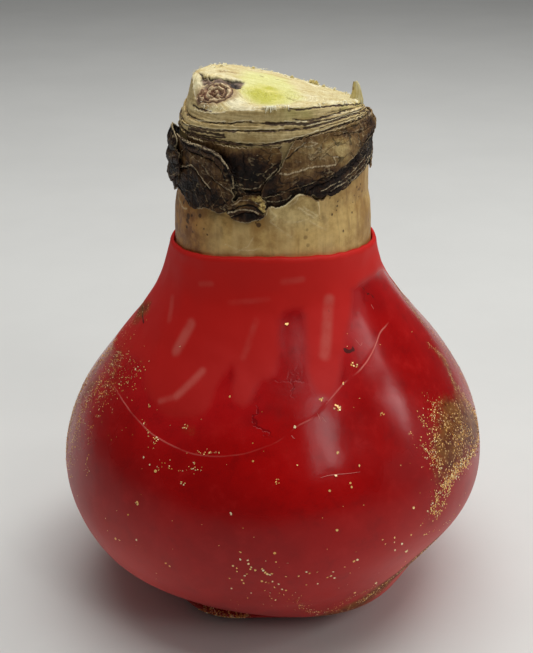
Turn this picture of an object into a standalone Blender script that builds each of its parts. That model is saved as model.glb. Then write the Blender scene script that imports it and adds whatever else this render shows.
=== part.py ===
# Waxed amaryllis bulb: the neck is cut back, and the bulb is dipped in red wax with a foot to stand on.
# Metres, +Z up. The origin is the middle of the flat wax foot, and the front faces -Y.
# Angles go round the bulb from +X towards +Y, in degrees, so the front is at -90.

import math

import bmesh
import bpy
from mathutils import Vector, noise

# Driving sizes
BODY_RADIUS = 0.0455
BODY_HEIGHT = 0.033
NECK_RADIUS = 0.0201
WAX_LINE = 0.0800
WAX_FLOOR = 0.0021
FOOT_RADIUS = 0.0220
CUT_HEIGHT = 0.1092
CUT_RADIUS = 0.0173
SHEET = 0.0006
GAP = 0.0003
LAYER = SHEET + GAP
WELD = 0.00001

# How the whole bulb leans along X with height, and how its neck is flattened along Y
LEAN = [(0.0, -0.0006), (0.020, 0.0), (0.042, 0.0008), (0.065, 0.0005), (0.085, 0.0003)]
NECK_FLATTENING = 0.94
FLATTENING_FROM = 0.050
FLATTENING_TO = 0.075

# Outlines as (height, radius)
WAX_OUTLINE = [
    (0.0, FOOT_RADIUS), (0.003, 0.0265), (0.008, 0.0332), (0.015, 0.0402), (0.024, 0.0449),
    (BODY_HEIGHT, BODY_RADIUS), (0.043, 0.0424), (0.053, 0.0354), (0.062, 0.0281), (0.070, 0.0233),
    (0.076, 0.0216), (WAX_LINE, 0.0213),
]
WAX_WALL = [(0.0, 0.0040), (0.006, 0.0030), (0.020, 0.0024), (0.045, 0.0018), (0.063, 0.0020)]
PALE_SKIN = [
    (0.063, 0.0252), (0.066, 0.0234), (0.070, 0.0217), (0.074, 0.0206), (0.078, 0.0202),
    (0.084, NECK_RADIUS), (0.0865, 0.0199), (0.089, 0.0194),
]
FLESH_RIMS = [
    (0.0865, 0.0190), (0.0890, 0.0185), (0.1018, 0.0185), (0.1023, 0.0189), (0.1026, 0.0188),
    (0.1048, 0.0187), (0.1050, 0.0182), (0.1060, 0.0181), (0.1062, 0.0176), (0.1082, CUT_RADIUS),
]

# How much narrower the neck is at the cut on the left
CUT_TAPER = 0.085

# Heights of the scale rims round the neck, as (angle, height)
RIM_LOW = [
    (-155, 0.1022), (-126, 0.1022), (-95, 0.1022), (-69, 0.1037), (-38, 0.1050), (0, 0.1046),
    (45, 0.1024), (90, 0.1028), (140, 0.1030),
]
RIM_MIDDLE = [
    (-155, 0.1038), (-126, 0.1043), (-95, 0.1049), (-69, 0.1054), (-38, 0.1063), (0, 0.1053),
    (45, 0.1037), (90, 0.1052), (140, 0.1056),
]
RIM_HIGH = [
    (-155, 0.1048), (-126, 0.1052), (-95, 0.1059), (-69, 0.1066), (-38, 0.1071), (0, 0.1060),
    (45, 0.1047), (90, 0.1066), (140, 0.1078),
]

# The second dip of wax, which runs down the shoulder in fingers: its lower edge as (angle, height)
DRIP_EDGE = [
    (-172, 0.054), (-160, 0.057), (-152, 0.0595), (-140, 0.0556), (-130, 0.0522), (-120, 0.0524),
    (-111, 0.055), (-107, 0.063), (-103, 0.0587), (-99, 0.0564), (-95, 0.0574), (-91, 0.063),
    (-86, 0.0715), (-79, 0.0715), (-76, 0.060), (-73, 0.0562), (-69, 0.0562), (-64, 0.0602),
    (-56, 0.0663), (-46, 0.071), (-20, 0.0738), (5, 0.070), (22, 0.0605), (34, 0.0575),
    (46, 0.064), (66, 0.0715), (84, 0.066), (98, 0.057), (112, 0.0555), (128, 0.063),
    (146, 0.069), (162, 0.0625), (174, 0.0555),
]
DRIP_DEPTH = 0.0005
DRIP_TOE = 0.0022
WAX_MOUTH = [(-159, 0.0787), (-90, 0.0809), (-11, 0.0792), (90, 0.0796)]

# A scale edge that shows through the wax as a shallow step, and how far the step reaches up
SCALE_STEP = [
    (-152, 0.0525), (-127, 0.0479), (-106, 0.0475), (-90, 0.0506), (-74, 0.0562), (-43, 0.0639),
]
SCALE_STEP_DEPTH = 0.0004
SCALE_STEP_RISE = 0.0012
SCALE_STEP_REACH = 0.010
SCALE_STEP_FADE = 12

# Swellings and hollows of the body: middle angle, spread, middle height, spread and depth
BODY_SWELLS = [
    (-50, 14, 0.020, 0.005, -0.0009),
    (-2, 38, 0.057, 0.011, 0.0016),
    (-22, 32, 0.014, 0.008, -0.0012),
    (-142, 30, 0.013, 0.007, 0.0006),
    (-117, 24, 0.0040, 0.0018, -0.0022),
]
# Lobes of the foot: middle angle, spread, depth, and the heights between which they fade
FOOT_LOBES = [
    (-117, 22, 0.0038, 0.0022, 0.0030),
    (-56, 30, 0.0036, 0.006, 0.014),
    (95, 40, 0.0016, 0.006, 0.014),
]
# Lumps all over the body and upright ridges on the shoulder
LUMP_DEPTH = 0.0005
LUMP_SCALE = 1.7
RIDGE_DEPTH = 0.0003
RIDGE_SCALE = 4.0

# Heights of the rings that the wax and the flesh under it are made of
WAX_LEVELS = [
    0.0785, 0.0755, 0.0725, 0.0697, 0.067, 0.0643, 0.0617, 0.0591, 0.0566, 0.0542, 0.0518, 0.0492,
    0.046, 0.041, 0.0355, 0.030, 0.0245, 0.019, 0.014, 0.0095, 0.006, 0.0042, 0.0028, 0.0018,
]
INNER_LEVELS = [
    0.0035, 0.006, 0.010, 0.017, 0.025, 0.033, 0.043, 0.053, 0.0605, 0.0625, 0.066, 0.070, 0.074, 0.078,
]
FLESH_LEVELS = [
    0.0775, 0.074, 0.070, 0.066, 0.0632, 0.0625, 0.0605, 0.053, 0.043, 0.033, 0.025, 0.017, 0.010,
    0.006, 0.0035,
]
FLOOR_INSET = 0.004
FLESH_SLACK = 0.0002

# The cut across the neck: its slopes along X, along Y and across both, its crest, its bevel and fibres
CUT_SLOPES = (-0.121, -0.007, -7.3)
CREST = (-0.011, -0.0025)
CREST_SPREAD = (0.007, 0.0075)
CREST_HEIGHT = 0.0016
BEVEL_RADIUS = 0.0118
BEVEL_DEPTH = [
    (-178, 0.0), (-168, 0.0016), (-157, 0.0038), (-145, 0.0034), (-135, 0.0030), (-126, 0.0019),
    (-113, 0.0009), (-97, 0.0003), (-80, 0.0), (80, 0.0),
]
FIBRE_DEPTH = 0.00035
FIBRE_SCALE = 420.0
CUT_RINGS = [0.0, 0.004, 0.0075, 0.0105, 0.013, 0.015, 0.0163, 0.0170]
CUT_BASE = 0.1088
EDGE_DROP = 0.0004

# Shreds on the cut's edge: angle, radius, width, height, outward curl, and the turn of the width from
# along the edge towards the middle, in degrees
SHREDS = [
    (-12.0, 0.0155, 0.0026, 0.0042, 0.0006, 62.0),
    (52.0, 0.0140, 0.0039, 0.0011, 0.0004, 0.0),
    (96.0, 0.0155, 0.0058, 0.0009, -0.0003, 0.0),
    (134.0, 0.0149, 0.0048, 0.0010, 0.0003, 0.0),
    (31.0, 0.0149, 0.0030, 0.0009, 0.0003, 0.0),
]
SHRED_ROOT = 0.0012
SHRED_THICKNESS = 0.0007

# The green shoot in the middle of the neck, and the withered stalk of last year's flower beside it
SHOOT_CENTRE = (-0.0011, -0.0088)
SHOOT_RADII = (0.0040, 0.0056)
SHOOT_BOTTOM = 0.0950
STALK_CENTRE = (-0.0098, -0.0083)
STALK_RADII = (0.0031, 0.0029)
STALK_BOTTOM = 0.0980
PLUG_STEPS = 30
PLUG_RINGS = [0.0, 0.35, 0.6, 0.82, 0.96]
SEAT_TOP = CUT_HEIGHT + 0.010

# The pale skin: its torn upper edge as (angle, height), and its flap at the front
PALE_TOP = [
    (-170, 0.0905), (-140, 0.0895), (-115, 0.0893), (-100, 0.0887), (-96.5, 0.0887), (-94.5, 0.0897),
    (-91.8, 0.0905), (-84, 0.0909), (-80, 0.0920), (-75.6, 0.0929), (-71, 0.0928), (-67, 0.0918),
    (-64, 0.0914), (-60, 0.0914), (-56, 0.0926), (-47, 0.0936), (-36, 0.0945), (-20, 0.0952),
    (20, 0.0946), (60, 0.0930), (110, 0.0935), (150, 0.0925),
]
PALE_BOTTOM = 0.0644
FLAP_MIDDLE = -79.0
FLAP_HALF_WIDTH = 17.5
SKIN_MIDDLE_RADIUS = 0.0191
PALE_ROWS = [0.0, 0.20, 0.40, 0.60, 0.76, 0.88, 1.0]
TEAR_PITCH = 0.31
PALE_TEAR = 0.0004
DARK_TEAR = 0.0007
TOP_TEAR = 0.0005
SIDE_TEAR = 2.2
CRUMPLE = 0.0001

FLAT = [(0.0, 0.0)]

# Each dark sheet: the angles that it spans, its lower and upper edges as (angle, height), the layers that
# these edges lie in, counted outwards from the flesh, as (angle, layer), and its grid. Some also have an
# outward curl of the lower edge or a bulge of the middle, as (angle, depth), and how ragged they are.
DARK_SHEETS = {
    "dark_skin_front": {
        "span": (-122.0, -86.0),
        "lower": [
            (-122, 0.0912), (-112, 0.0906), (-101, 0.0899), (-97, 0.0897), (-95, 0.0944), (-91, 0.0962),
            (-86, 0.0980),
        ],
        "ragged": 0.0002,
        "upper": [(-122, 0.1012), (-111, 0.1013), (-86, 0.1012)],
        "low_layer": [(-122, 0.0)],
        "high_layer": [(-122, 0.0)],
        "grid": (13, 5),
    },
    "dark_skin_strip": {
        "span": (-94.5, -10.0),
        "lower": [
            (-94.5, 0.0897), (-84, 0.0899), (-72, 0.0903), (-67, 0.0923), (-60, 0.0925), (-56, 0.0916),
            (-52, 0.0920), (-45, 0.0928), (-36, 0.0940), (-25, 0.0952), (-10, 0.0960),
        ],
        "upper": [
            (-94.5, 0.0932), (-90, 0.0940), (-80, 0.0950), (-64, 0.0966), (-47, 0.0990), (-30, 0.1014),
            (-10, 0.1018),
        ],
        "low_layer": [(-66, 0.0), (-59, 1.0)],
        "high_layer": [(-64, 0.0), (-58, 0.6), (-40, 0.5), (-24, 1.0)],
        "curl": [(-58, 0.0), (-50, 0.0004), (-40, 0.0), (-30, 0.0003), (-20, 0.0)],
        "ragged": 0.0003,
        "grid": (28, 4),
    },
    "dark_skin_right": {
        "span": (-95.0, -16.0),
        "lower": [
            (-95, 0.0922), (-89, 0.0926), (-81, 0.0937), (-73, 0.0946), (-64, 0.0955), (-56, 0.0966),
            (-47, 0.0979), (-38, 0.0995), (-30, 0.1008), (-16, 0.1018),
        ],
        "upper": [
            (-95, 0.1012), (-81, 0.1018), (-72, 0.1026), (-62, 0.1030), (-52, 0.1036), (-38, 0.1042),
            (-16, 0.1040),
        ],
        "low_layer": [(-66, 1.0), (-56, 2.0)],
        "high_layer": [(-84, 1.0), (-74, 0.0), (-40, 0.1), (-22, 1.0)],
        "grid": (28, 6),
    },
    "dark_skin_tongue": {
        "span": (-112.0, -98.0),
        "lower": [(-112, 0.0892), (-108, 0.0882), (-102, 0.0876), (-98, 0.0888)],
        "upper": [(-112, 0.0912), (-107, 0.0922), (-102, 0.0923), (-98, 0.0918)],
        "low_layer": [(-112, 1.1)],
        "high_layer": [(-112, 1.0)],
        "grid": (7, 4),
    },
    "dark_skin_left": {
        "span": (-164.0, -113.5),
        "lower": [
            (-164, 0.0898), (-154, 0.0893), (-144, 0.0884), (-137, 0.0883), (-131, 0.0888),
            (-124, 0.0887), (-113.5, 0.0886),
        ],
        "upper": [
            (-164, 0.1014), (-143, 0.1014), (-131, 0.1018), (-123, 0.1015), (-117, 0.1001),
            (-113.5, 0.0955),
        ],
        "low_layer": [(-164, 1.0)],
        "high_layer": [(-164, 0.5), (-150, 0.9), (-128, 1.25), (-113.5, 1.5)],
        "curl": [(-164, 0.0), (-150, 0.0004), (-138, 0.0001), (-128, 0.0005), (-118, 0.0)],
        "grid": (21, 6),
    },
    "dark_skin_flakes": {
        "span": (156.0, 212.0),
        "lower": [(156, 0.0925), (172, 0.0896), (184, 0.0886), (196, 0.0900), (205, 0.0925), (212, 0.0950)],
        "upper": [(156, 0.0990), (172, 0.1012), (186, 0.1022), (198, 0.1008), (212, 0.0975)],
        "low_layer": [(156, 2.0), (168, 2.0), (178, 1.2), (188, 1.2), (199, 2.0)],
        "high_layer": [(156, 2.0), (168, 1.5), (178, 1.3), (188, 1.3), (199, 2.0)],
        "bulge": [(156, 0.0), (178, 0.0013), (190, 0.0011), (212, 0.0002)],
        "grid": (19, 6),
    },
    "dark_skin_back_right": {
        "span": (-20.0, 96.0),
        "lower": [
            (-20, 0.0985), (-10, 0.0976), (-4, 0.0950), (6, 0.0925), (24, 0.0938), (40, 0.0905),
            (58, 0.0925), (76, 0.0890), (96, 0.0912),
        ],
        "upper": [(-20, 0.1034), (0, 0.1036), (24, 0.1020), (45, 0.1014), (70, 0.1018), (96, 0.1020)],
        "low_layer": [(-10, 0.0), (-5, 1.0)],
        "high_layer": [(-20, 0.0)],
        "curl": [(-5, 0.0), (24, 0.0006), (40, 0.0), (58, 0.0004), (76, 0.0), (90, 0.0)],
        "grid": (30, 5),
    },
    "dark_skin_back_left": {
        "span": (86.0, 169.0),
        "lower": [(86, 0.0930), (100, 0.0900), (118, 0.0915), (136, 0.0895), (152, 0.0912), (169, 0.0900)],
        "upper": [(86, 0.1008), (104, 0.1022), (130, 0.1016), (156, 0.1022), (169, 0.1016)],
        "low_layer": [(86, 2.0), (100, 2.0), (106, 1.0)],
        "high_layer": [(86, 1.0), (98, 1.0), (106, 0.0)],
        "curl": [(86, 0.0), (100, 0.0007), (116, 0.0002), (134, 0.0006), (150, 0.0)],
        "grid": (26, 5),
    },
}

WAX_STEPS = 68
BULB_STEPS = 56
SKIN_STEPS = 60


def ease(low, high, value):
    share = min(1.0, max(0.0, (value - low) / (high - low)))
    return share * share * (3.0 - 2.0 * share)


# A smooth line through (position, value) points, level beyond its two ends
def along(points, position):
    if position <= points[0][0]:
        return points[0][1]
    if position >= points[-1][0]:
        return points[-1][1]
    index = 0
    while points[index + 1][0] < position:
        index += 1
    before = points[max(index - 1, 0)]
    start = points[index]
    end = points[index + 1]
    after = points[min(index + 2, len(points) - 1)]
    span = end[0] - start[0]
    share = (position - start[0]) / span
    slope_in = (end[1] - before[1]) / (end[0] - before[0]) * span
    slope_out = (after[1] - start[1]) / (after[0] - start[0]) * span
    square = share * share
    cube = square * share
    return (
        (2 * cube - 3 * square + 1) * start[1]
        + (cube - 2 * square + share) * slope_in
        + (3 * square - 2 * cube) * end[1]
        + (cube - square) * slope_out
    )


# The same round the bulb, where the line closes on itself
def around(points, degrees):
    degrees = (degrees - points[0][0]) % 360.0 + points[0][0]
    closed = [(a - 360.0, v) for a, v in points[-2:]]
    closed += points
    closed += [(a + 360.0, v) for a, v in points[:2]]
    return along(closed, degrees)


# Straight lines through (position, value) points
def along_straight(points, position):
    for start, end in zip(points, points[1:]):
        if position <= end[0]:
            share = (position - start[0]) / (end[0] - start[0])
            return start[1] + (end[1] - start[1]) * max(share, 0.0)
    return points[-1][1]


# 1 at the middle angle, falling to 0 on both sides
def bump(degrees, middle, width):
    turn = (degrees - middle + 180.0) % 360.0 - 180.0
    return math.exp(-((turn / width) ** 2))


def angle_of(x, y):
    return math.degrees(math.atan2(y, x))


def on_circle(radius, degrees, height):
    turn = math.radians(degrees)
    return Vector((radius * math.cos(turn), radius * math.sin(turn), height))


# The bulb's own lean and flattening, the same for every piece, so that they keep their gaps
def settle(point):
    flattening = 1.0 + (NECK_FLATTENING - 1.0) * ease(FLATTENING_FROM, FLATTENING_TO, point.z)
    return Vector((point.x + along(LEAN, point.z), point.y * flattening, point.z))


def material(name, colour, roughness):
    made = bpy.data.materials.new(name)
    made.use_nodes = True
    shader = made.node_tree.nodes["Principled BSDF"]
    shader.inputs["Base Color"].default_value = (*colour, 1.0)
    shader.inputs["Roughness"].default_value = roughness
    shader.inputs["Metallic"].default_value = 0.0
    made.diffuse_color = (*colour, 1.0)
    return made


def new_object(name, mesh, collection):
    made = bpy.data.objects.new(name, mesh)
    collection.objects.link(made)
    return made


# Replaces an object's mesh by the one that its modifiers make
def apply_modifiers(piece):
    bpy.context.view_layer.update()
    evaluated = piece.evaluated_get(bpy.context.evaluated_depsgraph_get())
    mesh = bpy.data.meshes.new_from_object(evaluated)
    piece.modifiers.clear()
    piece.data = mesh


def reshape(piece, rule):
    for vertex in piece.data.vertices:
        vertex.co = rule(vertex.co)


def turned(name, outline, steps, collection):
    mesh = bpy.data.meshes.new(name)
    points = [(radius, 0.0, height) for radius, height in outline]
    edges = [(i, i + 1) for i in range(len(points) - 1)]
    mesh.from_pydata(points, edges, [])
    piece = new_object(name, mesh, collection)
    screw = piece.modifiers.new("turn", "SCREW")
    screw.steps = steps
    screw.render_steps = steps
    screw.use_merge_vertices = True
    screw.merge_threshold = WELD
    apply_modifiers(piece)
    return piece


# A torn sheet round the neck. place(across, up) gives its middle surface, both from 0 to 1.
def sheet(name, columns, rows, place, collection, thickness=SHEET):
    mesh = bpy.data.meshes.new(name)
    grid = bmesh.new()
    bmesh.ops.create_grid(grid, x_segments=columns, y_segments=rows, size=0.5)
    for vertex in grid.verts:
        vertex.co = place(vertex.co.x + 0.5, vertex.co.y + 0.5)
    grid.normal_update()
    grid.to_mesh(mesh)
    grid.free()
    piece = new_object(name, mesh, collection)
    thicken(piece, thickness)
    return piece


def thicken(piece, thickness):
    solidify = piece.modifiers.new("thickness", "SOLIDIFY")
    solidify.thickness = thickness
    solidify.offset = 0.0
    apply_modifiers(piece)


def combine(piece, other, operation):
    piece.modifiers.new("flat_faces", "TRIANGULATE")
    boolean = piece.modifiers.new("combine", "BOOLEAN")
    boolean.operation = operation
    boolean.solver = "EXACT"
    boolean.object = other
    weld = piece.modifiers.new("weld", "WELD")
    weld.merge_threshold = WELD
    apply_modifiers(piece)


def finish(piece, look, parent):
    reshape(piece, settle)
    piece.data.materials.clear()
    piece.data.materials.append(look)
    piece.data.shade_smooth()
    piece.data.set_sharp_from_angle(angle=math.radians(40))
    piece.parent = parent


# Wax coat

def wax_radius(height):
    return along(WAX_OUTLINE, height)


def wax_inner_radius(height):
    if height >= PALE_SKIN[0][0]:
        return along(PALE_SKIN, height) + GAP
    return wax_radius(height) - along(WAX_WALL, height)


# How far the outside of the wax stands out from its turned outline
def wax_relief(degrees, height):
    turn = on_circle(1.0, degrees, height / BODY_RADIUS)
    depth = LUMP_DEPTH * noise.noise(turn * LUMP_SCALE) * ease(0.004, 0.020, height)
    shoulder = ease(0.045, 0.060, height) * (1.0 - ease(0.072, 0.078, height))
    depth += RIDGE_DEPTH * noise.noise(Vector((turn.x, turn.y, height)) * RIDGE_SCALE) * shoulder
    for middle, spread, level, reach, size in BODY_SWELLS:
        depth += size * bump(degrees, middle, spread) * math.exp(-(((height - level) / reach) ** 2))
    for middle, spread, size, full, gone in FOOT_LOBES:
        depth += size * bump(degrees, middle, spread) * (1.0 - ease(full, gone, height))
    edge = around(DRIP_EDGE, degrees)
    depth += DRIP_DEPTH * ease(edge - DRIP_TOE, edge, height) * (1.0 - ease(0.077, WAX_LINE, height))
    return depth - scale_step(degrees, height)


def scale_step(degrees, height):
    first = SCALE_STEP[0][0]
    last = SCALE_STEP[-1][0]
    within = ease(first, first + SCALE_STEP_FADE, degrees)
    within *= 1.0 - ease(last - SCALE_STEP_FADE, last, degrees)
    line = along(SCALE_STEP, degrees)
    rise = ease(line, line + SCALE_STEP_RISE, height)
    fall = 1.0 - ease(line + 2.5 * SCALE_STEP_RISE, line + SCALE_STEP_REACH, height)
    return SCALE_STEP_DEPTH * within * rise * fall


def make_wax_coat(parts, look, parent):
    outline = [(0.0, WAX_FLOOR), (wax_inner_radius(WAX_FLOOR) - FLOOR_INSET, WAX_FLOOR)]
    outline += [(wax_inner_radius(z), z) for z in INNER_LEVELS]
    outline += [(wax_inner_radius(WAX_LINE), WAX_LINE - 0.0001), (wax_radius(WAX_LINE) - 0.0001, WAX_LINE)]
    outline += [(wax_radius(z), z) for z in WAX_LEVELS]
    outline += [(FOOT_RADIUS, 0.0), (0.0, 0.0)]
    coat = turned("wax_coat", outline, WAX_STEPS, parts)

    def relief(point):
        radius = math.hypot(point.x, point.y)
        if radius < FLOOR_INSET:
            return point
        degrees = angle_of(point.x, point.y)
        wall_middle = 0.5 * (wax_radius(point.z) + wax_inner_radius(max(point.z, WAX_FLOOR)))
        lift = (around(WAX_MOUTH, degrees) - WAX_LINE) * ease(0.075, WAX_LINE, point.z)
        if radius > wall_middle and point.z < max(WAX_LEVELS) + GAP:
            radius += wax_relief(degrees, point.z)
        return on_circle(radius, degrees, point.z + lift)

    reshape(coat, relief)
    finish(coat, look, parent)


# Bulb: flesh inside the wax, the neck, the stepped scale rims and the slanting cut

def flesh_radius(height):
    if height >= PALE_SKIN[0][0]:
        return along(PALE_SKIN, height) - SHEET - GAP - FLESH_SLACK / 2
    return wax_inner_radius(height) - GAP - FLESH_SLACK


# The cut slopes down to the right, with a crest at the back left and a bevel in front of it
def cut_height(x, y):
    height = CUT_HEIGHT + CUT_SLOPES[0] * x + CUT_SLOPES[1] * y + CUT_SLOPES[2] * x * y
    across = (x - CREST[0]) / CREST_SPREAD[0]
    back = (y - CREST[1]) / CREST_SPREAD[1]
    height += CREST_HEIGHT * math.exp(-(across ** 2) - back ** 2)
    outwards = max(0.0, math.hypot(x, y) - BEVEL_RADIUS) / (CUT_RADIUS - BEVEL_RADIUS)
    height -= around(BEVEL_DEPTH, angle_of(x, y)) * outwards
    return height + FIBRE_DEPTH * noise.noise(Vector((x, y, 0.0)) * FIBRE_SCALE)


def cut_taper(degrees):
    return 1.0 - CUT_TAPER * bump(degrees, 180, 50)


# How far each ring of the neck moves up, so that the scale rims follow their own heights
def rim_shift(degrees, height):
    edge = on_circle(CUT_RADIUS * cut_taper(degrees), degrees, 0.0)
    levels = [
        (FLESH_RIMS[1][0], FLESH_RIMS[1][0]),
        (0.1023, around(RIM_LOW, degrees)),
        (0.1049, around(RIM_MIDDLE, degrees)),
        (0.1061, around(RIM_HIGH, degrees)),
        (FLESH_RIMS[-1][0], cut_height(edge.x, edge.y) - 0.0007),
    ]
    return along_straight([(level, moved - level) for level, moved in levels], height)


# A shred of skin or fibre that the knife left standing on the edge of the cut
def make_shred(degrees, radius, width, height, curl, turn, tools):
    root = on_circle(radius, degrees, 0.0)
    bottom = cut_height(root.x, root.y) - SHRED_ROOT

    def place(across, up):
        middle = on_circle(radius + curl * math.sin(up * 2.4), degrees, 0.0)
        side = on_circle((across - 0.5) * width * (1.0 - 0.7 * up), degrees + 90.0 + turn, 0.0)
        ragged_top = 1.0 - 0.3 * abs(across - 0.4) * up
        level = bottom + (height + SHRED_ROOT) * up * ragged_top
        return middle + side + Vector((0.0, 0.0, level))

    return sheet("shred", 3, 5, place, tools, SHRED_THICKNESS)


def make_seat(name, centre, radii, bottom, tools):
    bpy.ops.mesh.primitive_cylinder_add(vertices=PLUG_STEPS, radius=1.0, depth=1.0)
    seat = bpy.context.active_object
    seat.name = name
    for owner in list(seat.users_collection):
        owner.objects.unlink(seat)
    tools.objects.link(seat)
    for vertex in seat.data.vertices:
        vertex.co.x = vertex.co.x * (radii[0] + GAP) + centre[0]
        vertex.co.y = vertex.co.y * (radii[1] + GAP) + centre[1]
        vertex.co.z = bottom - GAP + (vertex.co.z + 0.5) * (SEAT_TOP - bottom)
    seat.hide_render = True
    seat.display_type = "WIRE"
    return seat


def make_bulb(parts, tools, look, parent, seats):
    floor = WAX_FLOOR + GAP
    outline = [(radius, CUT_BASE) for radius in CUT_RINGS]
    outline += [(radius, height) for height, radius in reversed(FLESH_RIMS)]
    outline += [(flesh_radius(z), z) for z in FLESH_LEVELS]
    outline += [(wax_inner_radius(WAX_FLOOR) - FLOOR_INSET - 4 * GAP, floor), (0.0, floor)]
    bulb = turned("bulb", outline, BULB_STEPS, parts)

    def relief(point):
        if point.z < FLESH_RIMS[1][0]:
            return point
        degrees = angle_of(point.x, point.y)
        narrowing = 1.0 + (cut_taper(degrees) - 1.0) * ease(0.1045, CUT_BASE, point.z)
        radius = math.hypot(point.x, point.y) * narrowing
        moved = on_circle(radius, degrees, point.z + rim_shift(degrees, point.z))
        if point.z > FLESH_RIMS[-1][0] + GAP:
            moved.z = cut_height(moved.x, moved.y) - EDGE_DROP * ease(0.0155, CUT_RADIUS, radius)
        return moved

    reshape(bulb, relief)
    for seat in seats:
        combine(bulb, seat, "DIFFERENCE")
    for shred in SHREDS:
        piece = make_shred(*shred, tools)
        combine(bulb, piece, "UNION")
        bpy.data.objects.remove(piece, do_unlink=True)
    finish(bulb, look, parent)


# A plug that fills its seat in the neck. top_rule gives the height of its end above the cut.
def make_plug(name, centre, radii, bottom, top_rule, parts, look, parent):
    outline = [(share, 1.0) for share in PLUG_RINGS]
    outline += [(1.0, 0.98), (1.0, 0.5), (1.0, 0.0), (0.0, 0.0)]
    plug = turned(name, outline, PLUG_STEPS, parts)

    def shape(point):
        x = centre[0] + point.x * radii[0]
        y = centre[1] + point.y * radii[1]
        top = cut_height(x, y) + top_rule(point.x, point.y)
        return Vector((x, y, bottom + (top - bottom) * point.z))

    reshape(plug, shape)
    finish(plug, look, parent)


# The cut shoot is slightly dished and rounded at its rim
def shoot_top(x, y):
    share = math.hypot(x, y)
    return 0.0001 - 0.0002 * (1.0 - share) - 0.0002 * ease(0.85, 1.0, share)


# Swirled folds of the dried stalk, sunk below the flesh towards the crest behind it
def stalk_top(x, y):
    share = math.hypot(x, y)
    folds = 0.0004 * math.sin(9.0 * share + math.atan2(y, x))
    return 0.0001 - 0.0009 * ease(0.1, 1.0, y) + folds * (1.0 - 0.4 * share)


# Skins: the pale sleeve that fits the neck, and the dark torn sheets of older skins over it

def flap_share(degrees):
    turn = abs(degrees - FLAP_MIDDLE)
    return 1.0 - ease(FLAP_HALF_WIDTH - 2.0, FLAP_HALF_WIDTH + 0.5, turn)


def ragged(degrees, size, seed):
    return size * noise.noise(Vector((degrees * TEAR_PITCH, seed, 0.4)))


def pale_place(across, up):
    degrees = -180.0 + 360.0 * across
    top = around(PALE_TOP, degrees) + ragged(degrees, PALE_TEAR, 5.0)
    height = PALE_BOTTOM + (top - PALE_BOTTOM) * up
    radius = along(PALE_SKIN, height) - 0.5 * SHEET
    flap = flap_share(degrees) * ease(0.0850, 0.0885, height)
    radius += flap * (SKIN_MIDDLE_RADIUS + LAYER + 0.0001 - radius)
    return on_circle(radius, degrees, height)


def make_pale_skin(parts, look, parent):
    mesh = bpy.data.meshes.new("pale_skin")
    sleeve = bmesh.new()
    bmesh.ops.create_circle(sleeve, cap_ends=False, radius=1.0, segments=SKIN_STEPS)
    ring = list(sleeve.edges)
    for share in PALE_ROWS[1:]:
        made = bmesh.ops.extrude_edge_only(sleeve, edges=ring)
        ring = [part for part in made["geom"] if isinstance(part, bmesh.types.BMEdge)]
        for vertex in {vertex for edge in ring for vertex in edge.verts}:
            vertex.co.z = share
    for vertex in sleeve.verts:
        across = (angle_of(vertex.co.x, vertex.co.y) + 180.0) / 360.0
        vertex.co = pale_place(across, vertex.co.z)
    bmesh.ops.recalc_face_normals(sleeve, faces=sleeve.faces)
    sleeve.to_mesh(mesh)
    sleeve.free()
    skin = new_object("pale_skin", mesh, parts)
    thicken(skin, SHEET)
    finish(skin, look, parent)


def dark_place(spec, seed):
    start, end = spec["span"]

    def place(across, up):
        side = 2.0 * across - 1.0
        torn = side ** 8 * noise.noise(Vector((up * 3.1, seed, side)))
        degrees = start + (end - start) * across - side * SIDE_TEAR * abs(torn)
        lower = along(spec["lower"], degrees) + ragged(degrees, spec.get("ragged", DARK_TEAR), seed)
        upper = along(spec["upper"], degrees) + ragged(degrees, TOP_TEAR, seed + 3.0)
        height = lower + (upper - lower) * up
        low = along(spec["low_layer"], degrees)
        high = along(spec["high_layer"], degrees)
        radius = SKIN_MIDDLE_RADIUS + LAYER * (low + (high - low) * ease(0.25, 0.95, up))
        radius += along(spec.get("curl", FLAT), degrees) * (1.0 - up) ** 2
        radius += along(spec.get("bulge", FLAT), degrees) * math.sin(math.pi * up)
        radius += CRUMPLE * noise.noise(Vector((degrees * 0.11, height * 400.0, 2.0)))
        return on_circle(radius, degrees, height)

    return place


def make_dark_skins(parts, look, parent):
    for number, (name, spec) in enumerate(DARK_SHEETS.items()):
        columns, rows = spec["grid"]
        piece = sheet(name, columns, rows, dark_place(spec, 11.0 + number), parts)
        finish(piece, look, parent)


def main():
    for old in list(bpy.data.objects):
        bpy.data.objects.remove(old, do_unlink=True)
    scene = bpy.context.scene
    parts = bpy.data.collections.new("waxed_bulb")
    tools = bpy.data.collections.new("tools")
    scene.collection.children.link(parts)
    scene.collection.children.link(tools)
    root = bpy.data.objects.new("bulb_origin", None)
    parts.objects.link(root)

    wax = material("red_wax", (0.45, 0.005, 0.007), 0.25)
    flesh = material("bulb_flesh", (0.56, 0.47, 0.24), 0.65)
    green = material("green_shoot", (0.55, 0.58, 0.12), 0.45)
    withered = material("withered_stalk", (0.16, 0.05, 0.03), 0.80)
    pale = material("pale_skin", (0.47, 0.33, 0.16), 0.55)
    dark = material("dark_skin", (0.06, 0.035, 0.022), 0.60)

    shoot = (SHOOT_CENTRE, SHOOT_RADII, SHOOT_BOTTOM)
    stalk = (STALK_CENTRE, STALK_RADII, STALK_BOTTOM)
    seats = [make_seat("shoot_seat", *shoot, tools), make_seat("stalk_seat", *stalk, tools)]
    make_bulb(parts, tools, flesh, root, seats)
    make_plug("green_shoot", *shoot, shoot_top, parts, green, root)
    make_plug("old_flower_stalk", *stalk, stalk_top, parts, withered, root)
    make_pale_skin(parts, pale, root)
    make_dark_skins(parts, dark, root)
    make_wax_coat(parts, wax, root)


main()
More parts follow.
